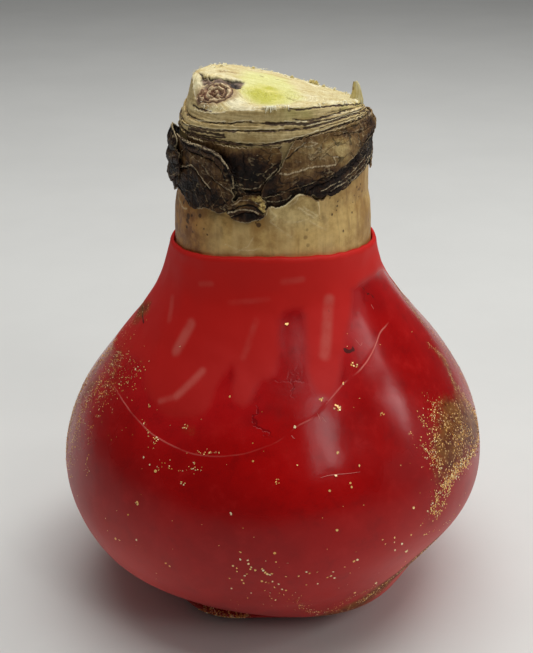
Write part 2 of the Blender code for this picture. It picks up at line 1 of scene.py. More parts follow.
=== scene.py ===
# Waxed amaryllis bulb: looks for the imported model. Wax with gold flakes, cut flesh, pale and dark skins.

import math

import bmesh
import bpy
import numpy as np
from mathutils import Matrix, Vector, noise


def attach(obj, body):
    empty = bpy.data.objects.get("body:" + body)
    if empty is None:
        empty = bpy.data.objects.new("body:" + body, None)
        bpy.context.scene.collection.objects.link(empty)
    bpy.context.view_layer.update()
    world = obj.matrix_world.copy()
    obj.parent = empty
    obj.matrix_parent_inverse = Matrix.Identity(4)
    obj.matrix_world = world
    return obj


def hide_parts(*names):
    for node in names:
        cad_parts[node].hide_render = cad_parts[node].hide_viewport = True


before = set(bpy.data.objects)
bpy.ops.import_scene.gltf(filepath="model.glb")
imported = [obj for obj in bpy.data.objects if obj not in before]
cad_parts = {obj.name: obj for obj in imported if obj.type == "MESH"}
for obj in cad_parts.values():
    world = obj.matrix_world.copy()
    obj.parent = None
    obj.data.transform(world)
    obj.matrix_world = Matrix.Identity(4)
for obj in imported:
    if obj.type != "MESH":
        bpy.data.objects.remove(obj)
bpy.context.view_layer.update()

# The settings give lengths in mm and angles in degrees round the neck, with the front at -90. Levels are
# heights in mm. The functions take heights and radii in metres, unless a comment says mm.

mm = 0.001
degree = math.radians(1)


def ease(low, high, value):  # 0 below low, 1 above high and smooth between
    share = np.clip((value - low) / (high - low), 0, 1)
    return share * share * (3 - 2 * share)


def along(points, position):  # smooth line through (position, value) points, level beyond its ends
    places, values = np.array(points, dtype=float).T
    last = len(places) - 1
    position = np.clip(position, places[0], places[last])
    start = np.clip(np.searchsorted(places, position, side="left") - 1, 0, last - 1)
    end = start + 1
    before = np.maximum(start - 1, 0)
    after = np.minimum(start + 2, last)
    span = places[end] - places[start]
    share = (position - places[start]) / span
    slopeIn = (values[end] - values[before]) / (places[end] - places[before]) * span
    slopeOut = (values[after] - values[start]) / (places[after] - places[start]) * span
    square = share * share
    cube = square * share
    return (
        (2 * cube - 3 * square + 1) * values[start]
        + (cube - 2 * square + share) * slopeIn
        + (3 * square - 2 * cube) * values[end]
        + (cube - square) * slopeOut
    )


def around(points, turn):  # the same, closed on itself round the bulb
    first = points[0][0]
    turned = (np.asarray(turn, dtype=float) - first) % 360 + first
    closed = [(place - 360, value) for place, value in points[-2:]]
    closed += list(points)
    closed += [(place + 360, value) for place, value in points[:2]]
    return along(closed, turned)


def setting(value, place):  # a setting that is one number, or a list of (place, number) points
    return along(value, place) if isinstance(value, list) else value


def wrap(turn, middle):  # how far round a place is from the middle, from -180 to 180
    return (turn - middle + 180) % 360 - 180


def hump(turn, middle, width):
    return np.exp(-((wrap(turn, middle) / width) ** 2))


def blob(turn, level, middle, at, wide, tall):  # 1 in the middle of an oval and less outwards
    return hump(turn, middle, wide) * np.exp(-(((level - at) / tall) ** 2))


def grain(points, scale, octaves=1):  # smooth noise from -1 to 1 at each point
    scaled = (np.asarray(points) * scale).reshape(-1, 3).tolist()
    if octaves == 1:
        values = [noise.noise(point) for point in scaled]
    else:
        values = [noise.fractal(point, 1, 2, octaves) for point in scaled]
    return np.array(values).reshape(np.shape(points)[:-1])


def grainAt(x, y, z, octaves=1):  # the same, from coordinates of which some may be plain numbers
    return grain(np.stack(np.broadcast_arrays(x, y, z), axis=-1), 1, octaves)


def unit(vectors):
    return vectors / np.linalg.norm(vectors, axis=-1, keepdims=True)


def pairs(points):
    return zip(points, points[1:])


def lineGap(ax, ay, bx, by):  # distance from zero to the short line between two points
    dx, dy = bx - ax, by - ay
    share = np.clip(-(ax * dx + ay * dy) / np.maximum(dx * dx + dy * dy, 1e-9), 0, 1)
    return np.hypot(ax + share * dx, ay + share * dy)


def insideOf(x, y, line):  # whether points lie inside a closed line, or above an open one
    inside = np.zeros(np.shape(x), dtype=bool)
    for start, end in pairs(line):
        if start[0] != end[0]:
            level = start[1] + (x - start[0]) / (end[0] - start[0]) * (end[1] - start[1])
            inside ^= ((start[0] <= x) != (end[0] <= x)) & (level < y)
    return inside


def onCircle(radius, turn, height):
    x, y = radius * np.cos(np.radians(turn)), radius * np.sin(np.radians(turn))
    return np.stack(np.broadcast_arrays(x, y, height), axis=-1)


def turnsRound(first, middle, front, back):  # angles all round, with their own number in front and behind
    turns = np.concatenate([
        np.linspace(first, middle, front, endpoint=False),
        np.linspace(middle, first + 360, back, endpoint=False),
    ])
    return np.where(turns > 180, turns - 360, turns)


# The whole bulb leans a little along X, and its neck is flatter from front to back.
stance = {
    "lean": [(0, -0.6), (20, 0), (42, 0.8), (65, 0.5), (85, 0.3)],
    "flattening": 0.94,
    "from": 50,
    "to": 75,
}


def settle(points):
    height = points[..., 2]
    level = height / mm
    flat = 1 + (stance["flattening"] - 1) * ease(stance["from"], stance["to"], level)
    lean = along(stance["lean"], level) * mm
    return np.stack([points[..., 0] + lean, points[..., 1] * flat, height], axis=-1)


def makeMesh(name, points, faces, marks=None):  # its faces are turned outwards
    mesh = bpy.data.meshes.new(name)
    mesh.from_pydata(points.reshape(-1, 3).tolist(), [], faces)
    shell = bmesh.new()
    shell.from_mesh(mesh)
    bmesh.ops.recalc_face_normals(shell, faces=shell.faces)
    shell.to_mesh(mesh)
    shell.free()
    for mark, values in (marks or {}).items():
        layer = mesh.attributes.new(mark, "FLOAT", "POINT")
        layer.data.foreach_set("value", np.asarray(values, dtype=np.float32).ravel())
    mesh.update()
    piece = bpy.data.objects.new(name, mesh)
    bpy.context.scene.collection.objects.link(piece)
    return piece


def gridFaces(rows, columns, closed, first=0):
    across = columns if closed else columns - 1
    row, column = np.meshgrid(np.arange(rows - 1), np.arange(across), indexing="ij")
    following = (column + 1) % columns
    corners = [row * columns + column, row * columns + following]
    corners += [(row + 1) * columns + following, (row + 1) * columns + column]
    return (np.stack(corners, axis=-1).reshape(-1, 4) + first).tolist()


def cappedFaces(rows, columns):  # rings that are closed by one point at the start and one at the end
    count, last = rows * columns, (rows - 1) * columns
    faces = gridFaces(rows, columns, True)
    for column in range(columns):
        faces.append(((column + 1) % columns, column, count))
    for column in range(columns):
        faces.append((last + column, last + (column + 1) % columns, count + 1))
    return faces


def applyModifiers(piece):
    graph = bpy.context.evaluated_depsgraph_get()
    changed = bpy.data.meshes.new_from_object(piece.evaluated_get(graph))
    piece.modifiers.clear()
    piece.data = changed


def thicken(piece, thickness):
    solidify = piece.modifiers.new("thickness", "SOLIDIFY")
    solidify.thickness = thickness * mm
    solidify.offset = 0
    applyModifiers(piece)


def dress(piece, finish, slot, *nodes):  # gives a piece its material, its body and the nodes it stands for
    piece.data.materials.append(finish)
    piece.data.shade_smooth()
    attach(piece, "root")
    if nodes:
        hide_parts(*nodes)
    print(piece.name, len(piece.data.polygons), "faces")
    return piece


def tint(red, green, blue):  # a colour given in the 0 to 255 steps of a screen
    steps = [value / 255 for value in (red, green, blue)]
    return tuple(step / 12.92 if step < 0.04 else ((step + 0.055) / 1.055) ** 2.4 for step in steps)


class Wire:  # a socket of a material: sums on it add the nodes they need
    def __init__(self, tree, socket=None):
        self.tree = tree
        self.socket = socket

    def node(self, kind, settings=None, sockets=None, output=0):
        made = self.tree.nodes.new("ShaderNode" + kind)
        for name, value in (settings or {}).items():
            if name == "stops":
                ramp = made.color_ramp.elements
                for number, (place, colour) in enumerate(value):
                    stop = ramp[number] if number < 2 else ramp.new(place)
                    stop.position, stop.color = place, (*colour, 1.0)
            else:
                setattr(made, name, value)
        for name, value in (sockets or {}).items():
            if isinstance(value, Wire):
                self.tree.links.new(value.socket, made.inputs[name])
            else:
                made.inputs[name].default_value = value
        return Wire(self.tree, made.outputs[output] if made.outputs else None)

    def join(self, operation, first, second):
        def kindOf(side):
            if isinstance(side, Wire):
                return side.socket.type
            return "VALUE" if isinstance(side, (int, float)) else "VECTOR"

        kinds = [kindOf(first), kindOf(second)]
        pair = (first, second)
        if "RGBA" in kinds:
            sides = [(side,) * 3 + (1.0,) if isinstance(side, (int, float)) else side for side in pair]
            sides = [(*side, 1.0) if isinstance(side, tuple) and len(side) == 3 else side for side in sides]
            settings = {"data_type": "RGBA", "blend_type": operation}
            return self.node("Mix", settings, {0: 1.0, 6: sides[0], 7: sides[1]}, 2)
        if "VECTOR" in kinds:
            sides = [(side,) * 3 if isinstance(side, (int, float)) else side for side in pair]
            return self.node("VectorMath", {"operation": operation}, {0: sides[0], 1: sides[1]})
        return self.node("Math", {"operation": operation}, {0: first, 1: second})

    def __add__(self, other):
        return self.join("ADD", self, other)

    def __radd__(self, other):
        return self.join("ADD", other, self)

    def __sub__(self, other):
        return self.join("SUBTRACT", self, other)

    def __rsub__(self, other):
        return self.join("SUBTRACT", other, self)

    def __mul__(self, other):
        return self.join("MULTIPLY", self, other)

    def __rmul__(self, other):
        return self.join("MULTIPLY", other, self)

    def __truediv__(self, other):
        return self.join("DIVIDE", self, other)

    def __rtruediv__(self, other):
        return self.join("DIVIDE", other, self)

    def __pow__(self, other):
        return self.join("POWER", self, other)

    def mark(self, name):  # a value kept at the points of the mesh
        return self.node("Attribute", {"attribute_name": name}, output="Fac")

    def places(self, stretch=(1, 1, 1)):  # the piece's own coordinates
        return self.node("TexCoord", output="Object") * stretch

    def axis(self, number):  # one of them
        return self.node("SeparateXYZ", sockets={0: self.places()}, output=number)

    def cloud(self, scale, detail=2, rough=0.5, where=None):
        sockets = {"Vector": where or self.places(), "Scale": scale, "Detail": detail, "Roughness": rough}
        return self.node("TexNoise", sockets=sockets)

    def streaks(self, stretch, detail=4, rough=0.6):  # noise that is fine across and long along an axis
        return self.cloud(1, detail, rough, self.places(stretch))

    def cells(self, scale, feature="F1", stretch=(1, 1, 1)):
        sockets = {"Vector": self.places(stretch), "Scale": scale}
        return self.node("TexVoronoi", {"feature": feature}, sockets)

    def dots(self, scale, small, large):  # round dots, 1 within the small size and 0 outside the large one
        return 1 - self.cells(scale).rise(small, large)

    def rise(self, low, high):  # 0 below low, 1 above high and smooth between
        sockets = {"Value": self, "From Min": low, "From Max": high}
        return self.node("MapRange", {"interpolation_type": "SMOOTHSTEP"}, sockets)

    def ridge(self, low, high):  # thin lines where noise passes its middle
        away = self - 0.5
        return 1 - (away * away * 1000).rise(low, high)

    def blend(self, low, high):  # the colour low where this wire is 0 and high where it is 1
        sides = [(*side, 1) if isinstance(side, tuple) else side for side in (low, high)]
        return self.node("Mix", {"data_type": "RGBA"}, {0: self, 6: sides[0], 7: sides[1]}, 2)

    def paint(self, *coats):  # lays colours over this one, each as strongly as the wire before it says
        colour = self
        for share, coat in coats:
            colour = share.blend(colour, coat)
        return colour

    def ramp(self, *stops):  # colours at places from 0 to 1
        return self.node("ValToRGB", {"stops": stops}, {0: self})

    def bump(self, distance, strength):
        return self.node("Bump", sockets={"Height": self, "Distance": distance * mm, "Strength": strength})


def newFinish(name):  # an empty material and its first wire
    finish = bpy.data.materials.new(name)
    finish.use_nodes = True
    finish.node_tree.nodes.clear()
    return finish, Wire(finish.node_tree)


def pour(finish, start, colour, sockets):  # the material's shader and output
    shader = start.node("BsdfPrincipled", sockets={"Base Color": colour} | sockets)
    start.node("OutputMaterial", sockets={"Surface": shader})
    return finish


# Wax coat

wax = {
    "front": (-168, -2),  # where the columns are closer together
    "columns": (236, 148),  # how many there and behind
    "rows": 226,
    "dense": (46, 52),  # above these levels the rows are closer together too
    "outline": [  # levels and radii
        (0, 22), (3, 26.5), (8, 33.2), (15, 40.2), (24, 44.9), (33, 45.5), (43, 42.4), (53, 35.4),
        (62, 28.1), (70, 23.3), (76, 21.6), (80, 21.3),
    ],
    "wall": [(0, 4), (6, 3), (20, 2.4), (45, 1.8), (63, 2)],
    "slope": 1.25,  # how many mm along the wax go with a mm of height
    "line": 80,
    "mouth": [(-159, 78.7), (-90, 80.9), (-11, 79.2), (90, 79.6)],
    "mouthFrom": 75,
    "rim": {"depth": 0.18, "scale": 9, "from": (77, 80)},
    "lip": 1.1,
    "toe": 0.7,
    "floor": 2.1,
    "floorInset": 4,
    "innerLevels": [3.5, 6, 10, 17, 25, 33, 43, 53, 60.5, 62.5, 66, 70, 74, 77, 78.6],
    "baseRings": (0.9, 0.6, 0.25),
    "neckFrom": 63,
    "skinGap": 0.3,
    "lumps": {"depth": 0.5, "scale": 1.7, "tall": 45.5, "from": (4, 20)},
    "ridges": {"depth": 0.3, "scale": 4, "from": (45, 60), "to": (72, 78)},
    "roughness": {"depth": 0.12, "scale": 260},
    "swells": [  # angle, level, how wide and how high it reaches, and depth
        (-50, 14, 20, 5, -0.9), (-2, 38, 57, 11, 1.6), (-22, 32, 14, 8, -1.2), (-142, 30, 13, 7, 0.6),
        (-117, 24, 4, 1.8, -2.2),
    ],
    "footLobes": [  # angle, width, depth, and the levels where it starts to end and ends
        (-117, 22, 3.8, 2.2, 3), (-56, 30, 3.6, 6, 14), (95, 40, 1.6, 6, 14),
    ],
    "crease": [
        (-160, 51.6), (-152, 51.2), (-144.7, 50.6), (-138.3, 49.8), (-132.7, 49), (-127, 48.2), (-118, 47.5),
        (-113, 47.2), (-106, 47.5), (-98, 48.5), (-90, 50.3), (-83.4, 52.6), (-76.9, 54), (-71.3, 56.1),
        (-63.4, 58.3), (-56.3, 59.4), (-48.2, 61.3), (-39.2, 63.6), (-30, 64.4),
    ],
    "creaseShare": [
        (-157, 0), (-150, 0.6), (-128, 0.7), (-108, 0.45), (-98, 0.2), (-88, 0.25), (-78, 0.6), (-60, 0.8),
        (-46, 1), (-36, 0.8), (-30, 0),
    ],
    "creaseDepth": 0.09,
    "creaseRise": (-0.1, 0.35),
    "creaseFade": (1.5, 8),
    "creaseSlope": 1.3,
    "dip": [  # the lower edge of the second dip, all round
        (-176, 54.6), (-169, 54.9), (-162.2, 55.9), (-156.1, 57.2), (-148, 57.5), (-143.3, 56.6),
        (-139.7, 55), (-135.1, 53.7), (-130.7, 52.9), (-127.7, 52.1), (-124.1, 51.8), (-120.1, 52.1),
        (-116, 52.7), (-113.1, 53.6), (-111.8, 54.8), (-111.5, 56.2), (-111.3, 57.4), (-110.1, 58.8),
        (-108.8, 60.2), (-107.4, 61.3), (-105.5, 61.1), (-104.5, 59.7), (-105.1, 57.8), (-103.4, 56.1),
        (-100.7, 55.5), (-98.6, 56.3), (-97.2, 58.1), (-95.3, 59.4), (-92.7, 59.8), (-90.7, 60.3),
        (-89.1, 61.6), (-88.4, 63.9), (-88.3, 66.6), (-88.2, 69.2), (-85.6, 70.6), (-80.8, 71.2),
        (-76.8, 71), (-75.1, 69.7), (-75.2, 67.3), (-76, 64.5), (-77, 60.9), (-76.9, 58.7), (-74.8, 57.1),
        (-71.5, 56.6), (-68.5, 57.4), (-65.8, 59.3), (-63.2, 61.9), (-59.6, 64.4), (-55.4, 66.5),
        (-51.8, 68.6), (-48.6, 70.9), (-47.2, 72.6), (-40.6, 73.2), (-30.7, 73.3), (-21.2, 73.2),
        (-9.7, 72.8), (-1, 71.6), (5, 69.2), (9, 64.6), (14, 60.4), (20, 58.6), (26, 59.9), (29, 63.4),
        (32, 66.6), (35.5, 64.8), (38.5, 59), (43, 55.6), (49, 55.2), (53, 57.6), (55, 62.8), (59, 68.6),
        (66, 71.4), (73, 71), (78, 66.6), (84, 61.8), (91, 60), (96, 62.2), (100, 58), (106, 54.4),
        (113, 53.8), (119, 56.2), (122, 61), (127, 66.6), (134, 69.6), (142, 69.4), (149, 66), (154, 61.4),
        (160, 57.4), (168, 55.2), (176, 54.6), (184, 54.6),
    ],
    "dipDepth": 0.13,
    "dipSoft": 1.8,
    "dipFade": (76.5, 79.6),
    "streaks": [  # paler lines in the second dip, painted highlights: start, end, width and strength
        (-130.1, 73.9, -123.1, 74.6, 1, 0.4), (-85.2, 76, -75.5, 76.3, 1, 0.4),
        (-111.8, 71.6, -93, 72.8, 0.9, 0.45), (-149, 69.2, -143.8, 65.8, 1.2, 0.5),
        (-129.8, 66.5, -132.1, 61.7, 1.8, 0.95), (-117.6, 59.7, -124.4, 55.1, 1.2, 0.9),
        (-124.4, 55.1, -129.8, 53.6, 0.9, 0.6), (-98.2, 68.9, -102.5, 62.7, 1, 0.45),
        (-61.9, 72, -69.5, 62.8, 1.7, 0.9), (18, 72, 14, 66, 1.4, 0.7), (46, 66, 47, 60, 1.2, 0.8),
        (112, 68, 110, 60.5, 1.5, 0.8), (168, 66, 166, 60, 1.3, 0.7),
    ],
    "cracks": [  # ovals with fine cracks: angle, level, width and height
        (-85, 60.2, 7.5, 3.4), (-31, 70, 10, 3.4), (-92, 53.5, 8, 2.6), (64, 62, 8, 3),
    ],
    "tears": [  # small dark tears: width, strength and line
        (0.55, 1, [(-60.4, 62.9), (-58.2, 62.5), (-56, 62.8)]),
        (0.4, 0.9, [(-176, 63.4), (-168, 62.6), (-163, 62)]),
        (0.22, 0.9, [(-40, 72.6), (-37.1, 71.6), (-35.6, 70.2), (-33.6, 70.6), (-31.5, 69.2)]),
        (0.25, 0.8, [(-62.4, 71), (-62.8, 70.3), (-63.4, 69.8)]),
        (0.3, 0.8, [(66, 60.6), (69, 59.8), (71, 60.4)]),
    ],
    "tearRadius": 36,
    "hidden": {"dip": (4, -9), "crease": (9, 9)},  # marks inside and under the wax, if they aren't 0
}


def waxOuter(height):
    return along(wax["outline"], height / mm) * mm


def paleOuter(height):
    return along(pale["outline"], height / mm) * mm


def waxInner(height):  # the neck of the wax fits round the pale skin
    inner = waxOuter(height) - along(wax["wall"], height / mm) * mm
    return np.where(height >= wax["neckFrom"] * mm, paleOuter(height) + wax["skinGap"] * mm, inner)


def wallGap(turn, height, radius, start, end, slope=wax["slope"]):  # mm from a short line on the wall
    metric = degree * radius / mm
    ax, ay = wrap(start[0], turn) * metric, (start[1] - height / mm) * slope
    return lineGap(ax, ay, ax + (end[0] - start[0]) * metric, ay + (end[1] - start[1]) * slope)


def outlineGap(turn, height, radius, line, first):  # distance in mm from an outline, above 0 inside it
    turned = (turn - first) % 360 + first
    nearest = np.minimum.reduce([wallGap(turn, height, radius, start, end) for start, end in pairs(line)])
    return np.where(insideOf(turned, height / mm, line), nearest, -nearest)


def dipGap(turn, height, radius):  # the second dip, which is a band all round, ends below in fingers
    return outlineGap(turn, height, radius, wax["dip"], wax["dip"][0][0])


def dipShare(gap):
    return ease(-wax["dipSoft"], wax["dipSoft"], gap)


def dipDepth(height, gap):
    return wax["dipDepth"] * mm * dipShare(gap) * (1 - ease(*wax["dipFade"], height / mm))


def waxSwell(turn, height):  # lumps, hollows and the lobes of the foot
    level = height / mm
    lumps, ridges = wax["lumps"], wax["ridges"]
    depth = lumps["depth"] * grain(onCircle(1, turn, height / lumps["tall"] / mm), lumps["scale"])
    depth *= ease(*lumps["from"], level)
    shoulder = ease(*ridges["from"], level) * (1 - ease(*ridges["to"], level))
    depth += ridges["depth"] * grain(onCircle(1, turn, height), ridges["scale"]) * shoulder
    for middle, spread, at, reach, size in wax["swells"]:
        depth += size * blob(turn, level, middle, at, spread, reach)
    for middle, spread, size, full, gone in wax["footLobes"]:
        depth += size * hump(turn, middle, spread) * (1 - ease(full, gone, level))
    return depth * mm


def creaseStep(turn, height):  # the step's depth, the distance from it in mm and its strength
    line = along(wax["crease"], turn)
    within = along(wax["creaseShare"], turn)
    above = height / mm - line
    step = wax["creaseDepth"] * mm * within
    step *= ease(*wax["creaseRise"], above) * (1 - ease(*wax["creaseFade"], above))
    return step, above * wax["creaseSlope"], within


def waxLevels():  # heights of the outer rings from the mouth down, closer together above the crease
    levels = np.linspace(0, wax["line"], 2000)
    radii = along(wax["outline"], levels)
    pace = np.hypot(np.gradient(levels), np.gradient(radii)) * (1 + 0.5 * ease(*wax["dense"], levels))
    travelled = np.cumsum(pace) - pace[0]
    return np.interp(np.linspace(travelled[-1], 0, wax["rows"]), travelled, levels) * mm


def mouthLift(turn, height):  # the rim of the mouth goes up and down
    return (around(wax["mouth"], turn) - wax["line"]) * mm * ease(wax["mouthFrom"], wax["line"], height / mm)


def roundOff(share, depth):  # share is 1 at the very edge
    return depth * mm * (1 - np.sqrt(1 - share**2 * 0.98))


def waxDepth(turn, height, radius, gap):  # how far the wax stands out from its outline
    level = height / mm
    depth = waxSwell(turn, height) - creaseStep(turn, height)[0] + dipDepth(height, gap)
    rough = wax["roughness"]
    depth += rough["depth"] * mm * grain(onCircle(radius, turn, height), rough["scale"]) * dipShare(gap)
    lip, toe = wax["lip"], wax["toe"]
    depth -= roundOff(np.clip((level - wax["line"] + lip) / lip, 0, 1), 0.75 * lip)
    return depth - roundOff(np.clip(1 - level / toe, 0, 1), toe)


def waxMarks(turn, height, radius, gap):
    streak, crack = np.zeros(turn.shape), np.zeros(turn.shape)
    for fromTurn, fromLevel, toTurn, toLevel, width, strength in wax["streaks"]:
        near = wallGap(turn, height, radius, (fromTurn, fromLevel), (toTurn, toLevel))
        streak = np.maximum(streak, strength * (1 - ease(0.2 * width, width, near)))
    for oval in wax["cracks"]:
        crack = np.maximum(crack, blob(turn, height / mm, *oval))
    _, crease, creaseShare = creaseStep(turn, height)
    return {
        "dip": gap, "streak": streak, "crack": crack, "crease": crease, "creaseShare": creaseShare,
        "tear": lineMarks(turn, height, wax["tears"], wax["tearRadius"]),
        "gold": goldDensity(turn, height, radius), "bronze": bronzeFilm(turn, height, radius),
    }


def makeWaxCoat(finish):
    turns = turnsRound(*wax["front"], *wax["columns"])
    turn, height = np.meshgrid(turns, waxLevels())
    radius = waxOuter(height)
    gap = dipGap(turn, height, radius)
    rim = wax["rim"]
    waves = rim["depth"] * mm * grain(onCircle(1, turn, 0), rim["scale"])
    lift = mouthLift(turn, height) + waves * ease(*rim["from"], height / mm)
    outside = settle(onCircle(radius + waxDepth(turn, height, radius, gap), turn, height + lift))

    innerTurn, innerHeight = np.meshgrid(turns, np.array(wax["innerLevels"]) * mm)
    innerLift = mouthLift(innerTurn, innerHeight)
    inside = settle(onCircle(waxInner(innerHeight), innerTurn, innerHeight + innerLift))
    floorHeight = np.array(wax["floor"] * mm)
    floor = settle(onCircle(waxInner(floorHeight) - wax["floorInset"] * mm, turns, floorHeight))[None]
    centre = settle(np.zeros(3))
    base = [(centre + (outside[-1] - centre) * (share, share, 0))[None] for share in wax["baseRings"]]
    grid = np.concatenate([floor, inside, outside, *base])
    points = np.vstack([grid.reshape(-1, 3), centre + (0, 0, floorHeight), centre])

    marks = waxMarks(turn, height, radius, gap)
    before, after = (1 + len(inside), len(turns)), (len(base), len(turns))
    for name, values in marks.items():
        inner, under = wax["hidden"].get(name, (0, 0))
        filled = np.concatenate([np.full(before, inner), values, np.full(after, under)])
        marks[name] = np.append(filled.ravel(), [under, under])
    piece = makeMesh("waxCoat", points, cappedFaces(*grid.shape[:2]), marks)
    return dress(piece, finish, "red_wax", "wax_coat")


# Gold flakes: where they lie on the wax, as lines and spots

